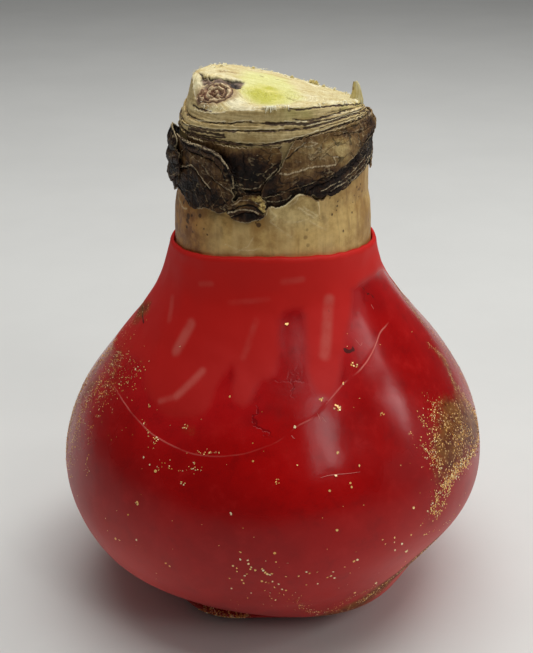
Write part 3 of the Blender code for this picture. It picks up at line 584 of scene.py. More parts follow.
gold = {
    "paths": [  # points, reach, flakes per square mm and size of a flake
        ([(-15, 47), (-12, 43), (-9, 39), (-12, 36.4)], 3, 4.2, 0.09),
        ([(-24, 46), (-26, 42), (-32, 40)], 4.2, 2.2, 0.09),
        ([(-8, 41), (-9, 38), (-13, 36.2), (-19, 36.2), (-27, 36.9)], 2.8, 3, 0.15),
        ([(-27, 36.9), (-35.4, 37.6), (-42, 36.6)], 3.6, 2.6, 0.18),
        ([(-36, 36.8), (-44.4, 36), (-45.6, 34), (-46.6, 31)], 2.2, 2.3, 0.18),
        ([(-33.7, 37.3), (-38.8, 36.4), (-39.6, 34.6), (-42.5, 32.8), (-45, 30.2)], 1.8, 1.9, 0.17),
        ([(-46.5, 33.4), (-50.6, 30.6)], 0.6, 1.6, 0.16),
        ([(-14, 57.4), (-12.4, 55.4), (-10.6, 53.3), (-12.4, 51.7), (-15.4, 50.2), (-17, 48)], 1, 4, 0.1),
        ([(6, 67), (0, 63), (-4, 59)], 1.5, 3, 0.09),
        ([(0, 58), (-2, 52), (-3, 46), (-4, 40)], 2.6, 1.5, 0.1),
        ([(16, 66), (9.6, 59), (6, 52), (4, 46)], 1.6, 1.4, 0.12),
        ([(-33.7, 50.3), (-38.8, 46.3), (-43.3, 42.8), (-42.5, 40)], 4.6, 1.5, 0.13),
        ([(-34, 46), (-28, 42), (-20, 40)], 5, 1, 0.13), ([(-42.2, 49.4), (-42.2, 48.2)], 1, 3.2, 0.12),
        ([(-48.5, 47.9), (-48.2, 47.3)], 0.7, 3, 0.12),
        ([(-46.2, 45.6), (-45.5, 44.6), (-43.7, 42.1)], 1.5, 2.2, 0.12),
        ([(-42, 41.6), (-40.5, 40.6)], 0.9, 3, 0.12),
        ([(-50.1, 27.6), (-40, 26.7), (-30, 27.6)], 2.2, 0.35, 0.13),
        ([(-60, 9.6), (-50, 13.4), (-42, 17.2), (-36, 20)], 1.7, 3.8, 0.13),
        ([(-83.4, 17.1), (-78, 10), (-70, 9), (-64.9, 12.9), (-58.1, 14.5)], 2.2, 1.5, 0.12),
        ([(-96, 20), (-88, 18), (-80, 20)], 4, 0.12, 0.13),
        ([(-122, 2.5), (-111.8, 2.4), (-105.8, 2.3), (-99, 2.5)], 1.3, 9, 0.2),
        ([(-166, 60), (-165, 52), (-164, 48), (-165, 44), (-163, 39.5), (-161, 31.5)], 6.2, 1.1, 0.12),
        ([(-147.3, 57.2), (-150.1, 54.1), (-155, 50.5), (-155.4, 47.2)], 7, 0.4, 0.12),
        ([(-158, 56.2), (-160, 52), (-158, 48)], 7, 0.5, 0.12),
        ([(-152.4, 47.2), (-153.5, 43.9), (-151, 39.6), (-148, 35)], 2.6, 0.5, 0.13),
        ([(-178, 58), (-179, 45), (-174, 37), (-169, 31)], 6.4, 2.3, 0.12),
        ([(178, 52), (178, 44), (184, 36)], 5, 0.7, 0.12), ([(-150, 57), (-146, 56)], 2, 0.8, 0.15),
        ([(-126, 47), (-133, 49.5)], 1, 1.4, 0.14), ([(-112, 47.6), (-105.6, 48)], 0.6, 3, 0.13),
        ([(-124, 43.6), (-116, 44.2), (-110, 45)], 1.6, 0.6, 0.12),
        ([(150, 40), (120, 44), (100, 36)], 5, 0.35, 0.13),
        ([(60, 48), (48, 40), (30, 36), (20, 30)], 2.6, 1.6, 0.15), ([(80, 26), (95, 20)], 4, 0.25, 0.14),
    ],
    "bronze": [  # films of gold dust that stain the wax: strength, softness and outline
        (1, 5, [(-16.7, 48.2), (-10.9, 44.3), (-7, 39.4), (-9, 35.5), (-17.3, 35.4), (-28.1, 36.6),
            (-37.3, 37.3), (-44.1, 37.9), (-45.2, 41.1), (-42.6, 43.9), (-40.5, 46), (-34.3, 49.2),
            (-26, 49.6)]),
        (0.7, 2.2, [(-15, 57.6), (-10, 55.7), (-8.4, 53.3), (-10, 51.5), (-13, 49), (-14.5, 47),
            (-19.5, 47.4), (-17.8, 50.2), (-15, 51.9), (-13.4, 53.5), (-14.9, 55.5)]),
        (0.8, 3, [(10, 69), (3, 66.5), (-3.5, 61.5), (-5.5, 58), (-2, 57.5), (6, 61), (13, 65)]),
        (0.9, 2.4, [(-172, 60.4), (-168, 61.4), (-165, 63.9), (-168, 65.4), (-176, 65), (-183, 63.4),
            (-182, 60.8)]),
        (1, 2.6, [(-78, 6.5), (-64, 10.5), (-54, 14.4), (-44, 18.6), (-36, 22.4), (-31, 19.6), (-41, 13.4),
            (-54, 8), (-68, 3.5)]),
        (0.8, 1.6, [(-108, 0.8), (-120, 0.5), (-131, 0.9), (-130, 2.6), (-119, 2.8), (-109, 2.4)]),
        (0.42, 4, [(-33, 51), (-39, 49.5), (-46, 45.5), (-47, 41), (-44, 38), (-36, 40), (-30, 46)]),
        (0.55, 6, [(-172, 52), (-182, 44), (-178, 34), (-168, 32), (-165, 40), (-163, 47), (-165, 51)]),
        (0.34, 2.6, [(-126, 50.8), (-118, 52.4), (-111, 51.6), (-110, 48.9), (-118, 48.4), (-124, 49.4)]),
        (0.5, 6, [(64, 50), (50, 41), (32, 36), (24, 38), (34, 44), (50, 52)]),
        (0.36, 6, [(150, 42), (130, 45.5), (112, 42), (118, 38.6), (138, 39)]),
        (0.42, 6, [(-150, 57), (-160, 59), (-178, 58), (-188, 48), (-180, 42), (-166, 46), (-154, 50)]),
        (0.5, 1.4, [(-122, 3.2), (-98, 3.2), (-98, 1.9), (-122, 1.9)]),
    ],
    "scatter": [  # single flakes that catch the eye: angle, level and size
        (-84.2, 68.4, 0.34), (-72.7, 48, 0.28), (-74.3, 44.6, 0.28), (-84.2, 52.5, 0.27), (-54, 25.2, 0.34),
        (-56.6, 28.1, 0.26), (-75, 34.8, 0.24), (-53.5, 35.2, 0.24), (-76.4, 42.2, 0.22),
        (-67.3, 45.4, 0.22), (-70.7, 42.9, 0.2), (-70.5, 42.2, 0.2), (-89.9, 31, 0.24), (-86.7, 28.7, 0.22),
        (-123.2, 42.8, 0.3), (-128.1, 44.3, 0.2), (-101, 38.3, 0.28), (-133.8, 25.7, 0.24),
        (-132.3, 25.9, 0.22), (-126.1, 28.1, 0.2), (-129.2, 32.8, 0.2), (-125.5, 43.5, 0.17),
        (-96.3, 47.3, 0.17), (-117.4, 24.9, 0.22), (-116.4, 24.4, 0.22), (-121.3, 20.8, 0.18),
        (-105.5, 56.6, 0.2), (-148.2, 55.9, 0.26), (-131.1, 62.5, 0.2), (-98.1, 30.9, 0.26),
        (-98, 29.3, 0.2), (-99.7, 27.6, 0.2), (-98.8, 27.1, 0.18), (-98.7, 26.3, 0.18), (-96.2, 29.2, 0.18),
        (-96, 28.4, 0.2), (-95.3, 27.6, 0.2), (-94.3, 26.9, 0.2), (-95.5, 27.1, 0.18), (-96.3, 25.8, 0.22),
        (-96.8, 25.3, 0.2), (-97.5, 24, 0.2), (-97.1, 23.1, 0.2), (-100.6, 24.2, 0.18), (-100.3, 21.1, 0.17),
        (-92.7, 27.3, 0.2), (-92.4, 26.9, 0.22), (-91.9, 26.4, 0.24), (-91.4, 26, 0.26), (-90.8, 25.8, 0.26),
        (-90.3, 26.1, 0.24), (-92.6, 24, 0.2), (-91.6, 23.7, 0.2), (-90.9, 23.5, 0.18), (-90, 23.9, 0.18),
        (-88.4, 23.1, 0.2), (-91.8, 21, 0.17), (-89.4, 22.1, 0.17), (-87.4, 21.4, 0.2), (-86.4, 21, 0.18),
        (-86.8, 19.4, 0.18), (-90.4, 20.2, 0.16), (-88.8, 17.3, 0.18), (-89.9, 17.9, 0.16),
        (-86.8, 25.3, 0.17), (-83.7, 25.2, 0.18), (-89.4, 29, 0.16), (-81.9, 26.2, 0.2), (-81.1, 25.8, 0.2),
        (-79.2, 25.9, 0.18), (-81.4, 22.4, 0.18), (-78.5, 22.4, 0.16), (-76.3, 24, 0.2), (-75.5, 24.3, 0.22),
        (-75.1, 25.4, 0.17), (-74.4, 23.5, 0.2), (-72.3, 26.2, 0.18), (-70.1, 27.2, 0.24),
        (-69.2, 27.4, 0.22), (-59.3, 30.3, 0.2), (-58.5, 27.1, 0.22), (-61.9, 29.5, 0.18), (-54, 29.4, 0.17),
        (-59.2, 29.2, 0.17), (-62.8, 30.7, 0.16), (-58.6, 16.5, 0.24), (-65.2, 15.4, 0.24),
        (-48.9, 27.7, 0.18), (-28.2, 48.6, 0.24), (-26.7, 45.4, 0.2), (-42.1, 50.5, 0.15), (-34, 41.1, 0.2),
    ],
    "clusters": [  # angle, level, spread, how many and size
        (-69.6, 54.7, 0.75, 15, 0.21), (-58.4, 60.2, 0.7, 9, 0.2), (-74.6, 56.3, 0.4, 5, 0.2),
        (-65.3, 57.9, 0.3, 3, 0.14), (-127, 35.8, 0.45, 7, 0.22), (-133.4, 52.2, 0.5, 6, 0.17),
        (-126.2, 47.6, 0.7, 8, 0.16), (-118, 51, 0.6, 8, 0.14), (-114.4, 42.2, 0.6, 7, 0.15),
        (-112.6, 45.2, 0.9, 8, 0.14), (-55, 52, 0.6, 8, 0.12), (-89.2, 44.2, 0.8, 6, 0.13),
        (-120, 44.4, 1.4, 6, 0.13), (40, 52, 0.7, 9, 0.2), (96, 46, 0.8, 10, 0.2), (140, 33, 0.8, 9, 0.19),
        (170, 25, 0.6, 6, 0.2), (12, 24, 0.7, 7, 0.2),
    ],
    "loose": 260,  # flakes anywhere
    "lowest": 0.5,
    "highest": 74,
    "covered": 0.22,  # share of the flakes that shows through the second dip
    "large": 0.17,  # flakes above this size all show there
    "tilt": 26,
    "turnedTo": (0.31, 0.2, 0.93),
    "lift": 0.05,
}


def goldDensity(turn, height, radius):
    density = np.zeros(turn.shape)
    for points, reach, rate, _ in gold["paths"]:
        for start, end in pairs(points):
            near = wallGap(turn, height, radius, start, end)
            density = np.maximum(density, rate * (1 - ease(0.35 * reach, reach, near)))
    return density


def bronzeFilm(turn, height, radius):
    film = np.zeros(turn.shape)
    for strength, soft, outline in gold["bronze"]:
        middle = sum(place for place, _ in outline) / len(outline)
        gap = outlineGap(turn, height, radius, outline + outline[:1], middle - 180)
        film = np.maximum(film, strength * ease(-soft, soft, gap))
    return film


def waxSurface(turn, height):  # a point of the wax as it is made above, and its outward direction
    def spot(angle, z):
        radius = waxOuter(z)
        depth = waxSwell(angle, z) - creaseStep(angle, z)[0] + dipDepth(z, dipGap(angle, z, radius))
        return settle(onCircle(radius + depth, angle, z))

    here = spot(turn, height)
    beside = spot(turn + 0.4, height) - here
    above = spot(turn, height + 0.3 * mm) - here
    return here, unit(np.cross(beside, above))


def pitchAt(level):  # mm round the wax in one degree
    return degree * (float(waxOuter(np.array(level * mm))) / mm)


def flakePlaces(dice):  # angles, levels and sizes of all the flakes
    places = []
    for points, reach, rate, size in gold["paths"]:
        for start, end in pairs(points):
            pitch = pitchAt(0.5 * (start[1] + end[1]))
            long = math.hypot((end[0] - start[0]) * pitch, (end[1] - start[1]) * wax["slope"])
            count = int(rate * 1.5 * (long + reach) * reach)
            share = dice.random(count)
            away = np.abs(dice.normal(0, 0.5, count)) * reach
            bearing = dice.random(count) * 2 * math.pi
            turn = start[0] + (end[0] - start[0]) * share + away * np.cos(bearing) / pitch
            level = start[1] + (end[1] - start[1]) * share + away * np.sin(bearing) / wax["slope"]
            places.append((turn, level, size * dice.uniform(0.55, 1.25, count)))
    for middle, at, spread, count, size in gold["clusters"]:
        away = spread * np.sqrt(dice.random(count))
        bearing = dice.random(count) * 2 * math.pi
        turn = middle + away * np.cos(bearing) / pitchAt(at)
        level = at + away * np.sin(bearing) / wax["slope"]
        places.append((turn, level, size * dice.uniform(0.8, 1.15, count)))
    turn, level, size = np.array(gold["scatter"]).T
    places.append((turn, level, size * 1.2))
    loose = gold["loose"]
    places.append((
        dice.uniform(-180, 180, loose), dice.uniform(8, 66, loose), dice.uniform(0.07, 0.14, loose),
    ))
    return [np.concatenate(part) for part in zip(*places)]


def chooseFlakes(dice):  # leaves out small flakes under the second dip, and all that miss the wax
    turn, level, size = flakePlaces(dice)
    keep = (level > gold["lowest"]) & (level < gold["highest"])
    turn, height, size = turn[keep], level[keep] * mm, size[keep] * mm
    covered = dipGap(turn, height, waxOuter(height)) > 0.3
    keep = ~covered | (dice.random(len(turn)) < gold["covered"])
    placed = len(turn) - gold["loose"]
    keep[:placed] |= size[:placed] > gold["large"] * mm
    return turn[keep], height[keep], size[keep]


def makeGoldFlakes(finish):
    dice = np.random.default_rng(8)
    turn, height, size = chooseFlakes(dice)
    here, outward = waxSurface(turn, height)
    count, corners = len(turn), 6
    outward = unit(outward + np.radians(gold["tilt"]) * dice.normal(0, 0.55, (count, 3)))
    side = unit(np.cross(outward, gold["turnedTo"]))
    up = np.cross(outward, side)
    spin = dice.random(count) * 2 * math.pi
    points = []
    for corner in range(corners):
        angle = (spin + corner * 2 * math.pi / corners)[:, None]
        wide = (size * dice.uniform(0.8, 1.1, count))[:, None]
        points.append(here + outward * gold["lift"] * mm + wide * (np.cos(angle) * side + np.sin(angle) * up))
    points = np.stack(points, axis=1)
    faces = (np.arange(count)[:, None] * corners + np.arange(corners)).tolist()
    shine = np.clip(dice.random(count) + 1.6 * (size / mm - 0.16), 0, 1)
    piece = makeMesh("goldFlakes", points, faces, {"shine": np.repeat(shine, corners)})
    return dress(piece, finish, "red_wax")


def dippedColour(start, drift, gap, covered, level):  # the deep red below and the flat red of the second dip, which carries painted shade and light
    bright = (gap + (drift - 0.5) * 12).rise(-9, 1) * start.cloud(70, 4, 0.6).rise(0.2, 0.6)
    marbled = start.cloud(240, 5, 0.68)
    shaded = start.cloud(120, 4, 0.6).rise(0.46, 0.68) * start.mark("crack").rise(0.05, 0.7)
    # painted shade and light: the flat red is darker on the lower fingers, which the lamps light more, and
    # lighter at the top
    high = level.rise(0.05, 0.078)
    flat = (high * 0.8 + start.cloud(90) * 0.3).blend((0.42, 0.006, 0.004), (0.6, 0.0095, 0.0055))
    return drift.rise(0.3, 0.7).blend((0.29, 0.0004, 0.0005), (0.42, 0.0012, 0.0012)).paint(
        (bright * 0.5, (0.5, 0.007, 0.01)),
        (marbled.rise(0.5, 0.72) * 0.3, (0.52, 0.014, 0.012)),
        ((1 - marbled).rise(0.5, 0.72) * 0.35, (0.17, 0, 0.0008)),
        (shaded * 0.5, (0.18, 0, 0.001)),
        (covered, flat),
    )


def waxFinish():
    finish, start = newFinish("redWax")
    level, gap, drift, across = start.axis(2), start.mark("dip"), start.cloud(32, 3), start.axis(0)
    covered = (gap + (start.cloud(260, 3) - 0.5) * 0.9).rise(-1.2, 1)
    # painted highlight: the paler streaks in the second dip
    streakSheen = start.mark("streak") * start.cloud(150, 4, 0.6).rise(0.25, 0.65)
    wander = start.mark("crease") + (start.cloud(220) - 0.5) * 0.4
    # painted highlight: a thin pale line along the crease's step
    line = (0.035 - wander * wander).rise(0, 0.03) * start.mark("creaseShare")
    line = line * start.cloud(130).rise(0.3, 0.55)
    crazed = start.cloud(130, 4, 0.55).ridge(0.1, 0.45) * start.mark("crack").rise(0.2, 0.7)
    crazed = crazed * start.cloud(60).rise(0.4, 0.55) * (1 - covered)
    torn = (start.mark("tear") + (start.cloud(600, 3) - 0.5) * 0.8).rise(0.35, 0.6)
    # painted reflection: the lower wax and its sides along X are painted paler pink, as the pale floor shows
    # in the gloss
    floorReflection = (1 - level.rise(0.01, 0.04)) * (0.25 + (across * across).rise(0.0001, 0.0009) * 0.75)
    film = (start.mark("bronze") + (start.cloud(210, 6, 0.68) - 0.5) * 1.3).rise(0.2, 1.05)
    bronze = start.cloud(520, 4, 0.6).rise(0.36, 0.64).blend((0.085, 0.022, 0.002), (0.2, 0.088, 0.014))
    specks = start.dots(1250, 0.16, 0.36) * start.cloud(380, 3).rise(0.3, 0.6)
    specks = specks * (film * 0.9 + start.mark("gold").rise(0.3, 3) * 0.5).rise(0, 1)
    colour = dippedColour(start, drift, gap, covered, level).paint(
        (streakSheen * 0.6, (0.6, 0.13, 0.1)),
        (line * 0.7, (0.7, 0.19, 0.15)),
        (crazed * 0.55, (0.14, 0, 0.002)),
        (torn * 0.85, (0.035, 0.008, 0.006)),
        (floorReflection * (0.5 + drift * 0.5), (0.72, 0.115, 0.1)),
        (film * 0.85, bronze),
        (specks * 0.9, (0.8, 0.47, 0.21)),
    )
    rough = 0.2 + 0.12 * start.cloud(55, 4).rise(0.4, 0.75) + covered * 0.36 + film * 0.2
    rough = rough + (1 - level.rise(0.024, 0.046)) * 0.26
    relief = start.cloud(700, 3) * 0.16 + start.cloud(130, 3) * 2.2 + covered * start.cloud(900) * 0.3
    relief = relief - crazed * 0.8 + line * 0.8 + specks * 0.6 + start.cloud(42) * 14
    return pour(finish, start, colour, {
        "Metallic": specks * 0.3, "Roughness": rough, "Normal": relief.bump(0.1, 0.5),
        "Coat Weight": (1 - covered) * 0.1, "Coat Roughness": 0.14, "Coat IOR": 1.3, "IOR": 1.42,
        "Specular IOR Level": 0.3,
    })


def goldFinish():
    finish, start = newFinish("goldFlake")
    shine = start.mark("shine")
    # painted glint: flakes with more shine, most of all the larger ones, are painted paler
    colour = shine.rise(0, 0.5).blend((0.88, 0.4, 0.08), (1, 0.62, 0.2))
    colour = shine.rise(0.6, 1).blend(colour, (1, 0.84, 0.52))
    return pour(finish, start, colour, {"Metallic": 0.22, "Roughness": 0.24 + shine * 0.16})


# Neck: the bulb's flesh, with its stepped scale rims and the slanting cut across it

flesh = {
    "front": (-176, -2),
    "columns": (330, 140),
    "body": [  # levels of the rings inside the wax and the pale skin
        3.5, 6, 10, 17, 25, 33, 43, 53, 60.5, 62.5, 63.2, 66, 70, 74, 78, 84, 87,
    ],
    "foot": 2.4,
    "footInset": 5.2,
    "inWax": 0.5,
    "inSkin": 1,
    "side": [  # the neck's side as levels and radii, down into each crevice and up again
        (89, 18.5), (100.6, 18.5), (101.5, 18.55), (102, 18.78), (102.3, 18.95), (102.52, 18.97),
        (102.6, 18.84), (102.35, 18.66), (102.1, 18.56), (102.3, 18.5), (102.7, 18.62), (103.5, 18.68),
        (104.5, 18.62), (104.8, 18.66), (104.93, 18.56), (104.75, 18.4), (104.5, 18.3), (104.7, 18.22),
        (105.2, 18.26), (105.8, 18.2), (106.05, 18.2), (106.12, 18.08), (105.95, 17.94), (105.75, 17.85),
        (105.9, 17.78), (106.4, 17.76), (107.4, 17.58), (108, 17.42), (108.2, 17.25),
    ],
    "sidePitch": 0.105,
    "rims": [  # levels in that side, and where they lie round the neck
        (102.3, [(-155, 102.2), (-126, 102.2), (-95, 102.2), (-69, 103.7), (-38, 105), (0, 104.6),
            (45, 102.4), (90, 102.8), (140, 103)]),
        (104.9, [(-155, 103.8), (-126, 104.3), (-95, 104.9), (-69, 105.4), (-38, 106.3), (0, 105.3),
            (45, 103.7), (90, 105.2), (140, 105.6)]),
        (106.1, [(-155, 104.8), (-126, 105.2), (-95, 105.9), (-69, 106.6), (-38, 107.1), (0, 106),
            (45, 104.7), (90, 106.6), (140, 107.8)]),
    ],
    "lips": [(102.5, 0.32), (104.9, 0.14), (106.1, 0.14)],  # levels with a frayed edge, and how frayed
    "cutHeight": 109.2,
    "cutRadius": 17.3,
    "cutRings": 74,
    "edgeDrop": 0.35,
    "slopes": (-0.121, -0.007, -0.0073),
    "crest": (-11, -2.5, 7, 7.5, 1.6),  # place, width, depth and height
    "bevelFrom": 11.8,
    "bevel": [
        (-178, 0), (-168, 1.6), (-157, 3.8), (-145, 3.4), (-135, 3), (-126, 1.9), (-113, 0.9), (-97, 0.3),
        (-80, 0), (80, 0),
    ],
    "taper": 0.085,
    "taperAt": (180, 50),
    "taperFrom": (104.5, 108.8),
    "roughFrom": (101, 102),
    "frayFrom": (107.2, 108.2),
    "rings": (-1.1, -7, 0.85),  # middle of the scale rings, and how narrow they are
    "shoot": (-1.1, -8.8, 4, 5.6),  # middle, and half its width and depth
    "shootGrid": (44, 120),
    "shootBottom": 95,
    "scar": (-11.1, -7.6, 4.3, 2.6, -35),  # middle, half its length and width, and bearing
    "scarGrid": (46, 150),
    "scarBottom": 98,
    "crevice": [
        (-14.2, 0.4), (-13.1, -2), (-11.4, -2.9), (-9.4, -2.6), (-7.6, -2), (-5.6, -1), (-5.4, -2.4),
        (-6, -4.6), (-6.9, -7.2), (-8, -7.2), (-8.9, -5.8), (-11.2, -5.6), (-13.4, -5), (-14.2, -3),
    ],
    "gashes": [  # dark strokes on the cut, painted shade in its slits and hollows: width, strength and points
        (0.26, 1, [(-14.8, 1.3), (-13.6, -1.5), (-11.9, -2.7), (-10, -2.9), (-8.6, -2.6)]),
        (0.34, 1, [(-13.9, -5.6), (-12.6, -5.3), (-10.9, -5.6), (-9.6, -5.2), (-8.2, -4.2)]),
        (0.9, 1, [(-8, -3.9), (-7.2, -4.6), (-7.3, -5.8)]),
        (0.4, 0.9, [(-8.6, -2.8), (-6.8, -1.8), (-5.2, -1)]),
        (0.22, 0.7, [(-10.9, 5), (-10, 7.6), (-8.7, 7.3)]), (0.42, 0.8, [(10.4, 0.5), (10.7, 0.2)]),
        (0.2, 0.6, [(2.6, -8.2), (3.3, -10.4), (4.4, -11.8)]), (0.2, 0.6, [(12.3, -2.6), (13.4, -3)]),
    ],
    "smears": [  # softer brown stains on it
        (1, 0.7, [(-10.8, 4.4), (-9.6, 7.2), (-7.3, 6.8)]), (0.7, 0.5, [(5, -12), (3.6, -14.6)]),
        (0.9, 0.4, [(2.8, -7.8), (4.2, -10.4)]), (0.8, 0.6, [(-15.2, 2.4), (-14.6, 0)]),
        (0.9, 0.4, [(11, 2.4), (12.6, 0.4)]),
    ],
    "greenCore": [
        (-5.8, -8.4), (-4.5, -3.6), (-2.2, 1.4), (0.4, 1.6), (2.1, -2), (2.8, -8.9), (1.4, -14),
        (-0.6, -15.8), (-2.9, -15.4), (-4.8, -12.6),
    ],
    "greenHalo": [
        (-6.6, -6.4), (-6.6, 4), (-5.5, 11.4), (-1.4, 13), (2.8, 12), (4.6, 3), (5.6, -8.8), (3.4, -15.4),
        (-3.3, -14.6), (-6, -10.4),
    ],
    "lineRadius": 18.4,
    "ink": [  # dark lines on the side, painted shade in the crevices under the rims: width, strength and points
        (0.22, 1, [(-160.1, 107), (-151.8, 106.9), (-140.4, 107), (-132.5, 107.3), (-125.8, 107.9),
            (-117.6, 108.3), (-110.9, 108.6), (-103.7, 108.8), (-96.7, 108.7)]),
        (0.22, 1, [(-80.6, 108.9), (-75.2, 108.6), (-68.7, 108.6), (-61.8, 108.7), (-51.4, 108.6),
            (-38.8, 108.2), (-25, 107.5), (-12, 106.9), (0, 106.6), (30, 106.8), (64, 108.2)]),
        (0.2, 1, [(-161.5, 105), (-149.5, 105), (-137.8, 105.1), (-125.8, 105.5), (-116.5, 105.8),
            (-110.2, 106.3)]),
        (0.17, 0.8, [(-110.2, 106.3), (-102, 106.2), (-94.3, 106.3)]),
        (0.42, 1, [(-94.3, 106.3), (-90.6, 106.1), (-86.2, 106.2), (-80.2, 106.3), (-73.5, 106), (-68, 106),
            (-61.5, 106.3)]),
        (0.2, 1, [(-61.5, 106.3), (-48, 106.4), (-31, 106.6), (-7.6, 106.1), (0, 106), (45, 104.7),
            (90, 106.6), (140, 107.8), (176, 106.6), (199, 105)]),
        (0.18, 0.9, [(-77.9, 106.9), (-73.3, 106.6), (-67.8, 106.5), (-58, 106.8), (-45, 107.2),
            (-30, 107.1)]),
        (0.4, 1, [(-152, 103), (-146.1, 103.3), (-135.6, 103.5), (-128.9, 103.6), (-124.2, 103.5),
            (-120.1, 103.6)]),
        (0.26, 0.9, [(-150, 102.6), (-138, 102.7), (-126, 102.9), (-119, 103.2)]),
        (0.22, 1, [(-164, 103.5), (-147, 103.7), (-133, 104), (-119, 104.4), (-107, 104.8), (-92, 104.9),
            (-80, 105.1), (-68, 105.3)]),
        (0.18, 0.9, [(-68, 105.3), (-54, 105.9), (-36, 106.3), (-12, 105.6), (0, 105.3), (45, 103.7),
            (90, 105.2), (140, 105.6), (196, 103.9)]),
        (0.36, 1, [(-155, 102.3), (-139, 102.2), (-126, 102.3), (-113, 102.2), (-95, 102.3), (-84, 102.9),
            (-69, 103.7)]),
        (0.24, 1, [(-69, 103.7), (-55, 104.6), (-38, 105.1), (-11, 104.9), (0, 104.6), (45, 102.6),
            (90, 102.9), (140, 103.1), (205, 102.4)]),
        (0.13, 0.7, [(-62, 105.1), (-50, 105.5), (-38, 105.7), (-20, 105.5)]),
        (0.12, 0.6, [(-56, 107.4), (-44, 107.5), (-30, 107.2), (-16, 106.7)]),
        (0.14, 0.7, [(20, 105.8), (60, 106.2), (110, 107.8), (150, 108.2)]),
        (0.13, 0.6, [(70, 104.2), (104, 104.6), (150, 104.4)]),
    ],
    "glint": [  # pale lines, painted highlights on the rims' edges
        (0.17, 1, [(-148.9, 104.75), (-137.8, 105.25), (-125.8, 105.7), (-116.5, 106.1), (-108, 106.6),
            (-98, 106.65)]),
        (0.17, 1, [(-155.3, 106.55), (-140.5, 106.7), (-130.6, 107.1), (-122, 107.7)]),
        (0.18, 1, [(-83, 106.65), (-76, 106.5), (-70, 106.45)]),
        (0.15, 0.9, [(-160, 103.4), (-146, 104.05), (-130, 104.35), (-116, 104.75), (-100, 105.2),
            (-84, 105.4)]),
        (0.22, 1, [(-88, 103.1), (-82, 103.35), (-76.6, 103.75), (-68.9, 104.2), (-63, 104.7)]),
        (0.16, 0.8, [(-112, 102.6), (-101.4, 102.65), (-90.5, 102.9), (-84, 103.2)]),
        (0.15, 0.9, [(-70, 105.65), (-58, 106.05), (-42, 106.45), (-24, 106.35)]),
        (0.15, 0.9, [(-62, 104.55), (-52, 105.1), (-40, 105.45), (-20, 105.3)]),
        (0.13, 0.8, [(-60, 107.1), (-46, 107), (-30, 106.85), (-14, 106.4)]),
        (0.13, 0.8, [(-74, 108.9), (-60, 109), (-46, 108.8), (-30, 108.1)]),
    ],
    "hidden": {  # marks inside the wax
        "ring": -9,
        "bearing": -9,
        "core": -9,
        "halo": -9,
        "scar": -9,
        "crevice": -9,
        "level": 90,
    },
}


def lineMarks(turn, height, lines, radius):  # how strongly points lie on drawn lines, with a radius in mm
    found = np.zeros(np.shape(turn))
    spots = np.stack([turn * 0.33, height / mm * 0.9, 0 * turn], axis=-1)
    turn = turn + 0.75 * grain(spots + 7, 1, 3)
    height = height + 0.16 * mm * grain(spots + 31, 1, 3)
    patchy = np.clip(1 + 0.7 * grain(spots * 0.8 + 17, 1, 2), 0.55, 1)
    thick = np.clip(0.74 + 0.4 * grain(spots * 1.3 + 53, 1), 0.42, 1.1)
    for width, strength, points in lines:
        for start, end in pairs(points):
            away = wallGap(turn, height, radius * mm, start, end, 1)
            found = np.maximum(found, strength * np.exp(-((away / (width * thick)) ** 2)))
    return found * patchy


def strokeMarks(x, y, strokes):  # the same for strokes on the cut, all in mm
    found = np.zeros(np.shape(x))
    x = x + 0.35 * grainAt(x * 1.1, y * 1.1, 3.3, 3)
    y = y + 0.35 * grainAt(x * 1.1, y * 1.1, 9.9, 3)
    for width, strength, points in strokes:
        for start, end in pairs(points):
            away = lineGap(start[0] - x, start[1] - y, end[0] - x, end[1] - y)
            found = np.maximum(found, strength * np.exp(-((away / width) ** 2)))
    return found


def areaGap(x, y, outline):  # distance in mm from a closed outline on the cut, above 0 inside
    line = outline + outline[:1]
    gaps = [lineGap(start[0] - x, start[1] - y, end[0] - x, end[1] - y) for start, end in pairs(line)]
    nearest = np.minimum.reduce(gaps)
    return np.where(insideOf(x, y, line), nearest, -nearest)


def edgeRadius(turn):  # the cut's edge in mm
    return flesh["cutRadius"] * (1 - flesh["taper"] * hump(turn, *flesh["taperAt"]))


def cutHeight(x, y):  # in mm, before the fibres
    slopeX, slopeY, twist = flesh["slopes"]
    height = flesh["cutHeight"] + slopeX * x + slopeY * y + twist * x * y
    cx, cy, wide, deep, tall = flesh["crest"]
    height = height + tall * np.exp(-(((x - cx) / wide) ** 2) - ((y - cy) / deep) ** 2)
    start = flesh["bevelFrom"]
    outwards = np.maximum(0, np.hypot(x, y) - start) / (flesh["cutRadius"] - start)
    return height - around(flesh["bevel"], np.degrees(np.arctan2(y, x))) * outwards


def scarPlace(x, y):  # a point's place in the oval scar, 1 at its edge
    middleX, middleY, long, wide, bearing = flesh["scar"]
    cos, sin = math.cos(bearing * degree), math.sin(bearing * degree)
    x, y = x - middleX, y - middleY
    return (x * cos + y * sin) / long, (y * cos - x * sin) / wide


def cutMarks(x, y):  # the fibres, the green heart and the hollows of the cut, all in mm
    middleX, middleY, flat = flesh["rings"]
    ahead = y - middleY
    return {
        "ring": np.hypot((x - middleX) / flat, ahead),
        "bearing": np.degrees(np.arctan2(ahead, x - middleX)),
        "core": areaGap(x, y, flesh["greenCore"]), "halo": areaGap(x, y, flesh["greenHalo"]),
        "scar": 1 - np.hypot(*scarPlace(x, y)), "crevice": areaGap(x, y, flesh["crevice"]),
        "gash": strokeMarks(x, y, flesh["gashes"]), "smear": strokeMarks(x, y, flesh["smears"]),
    }


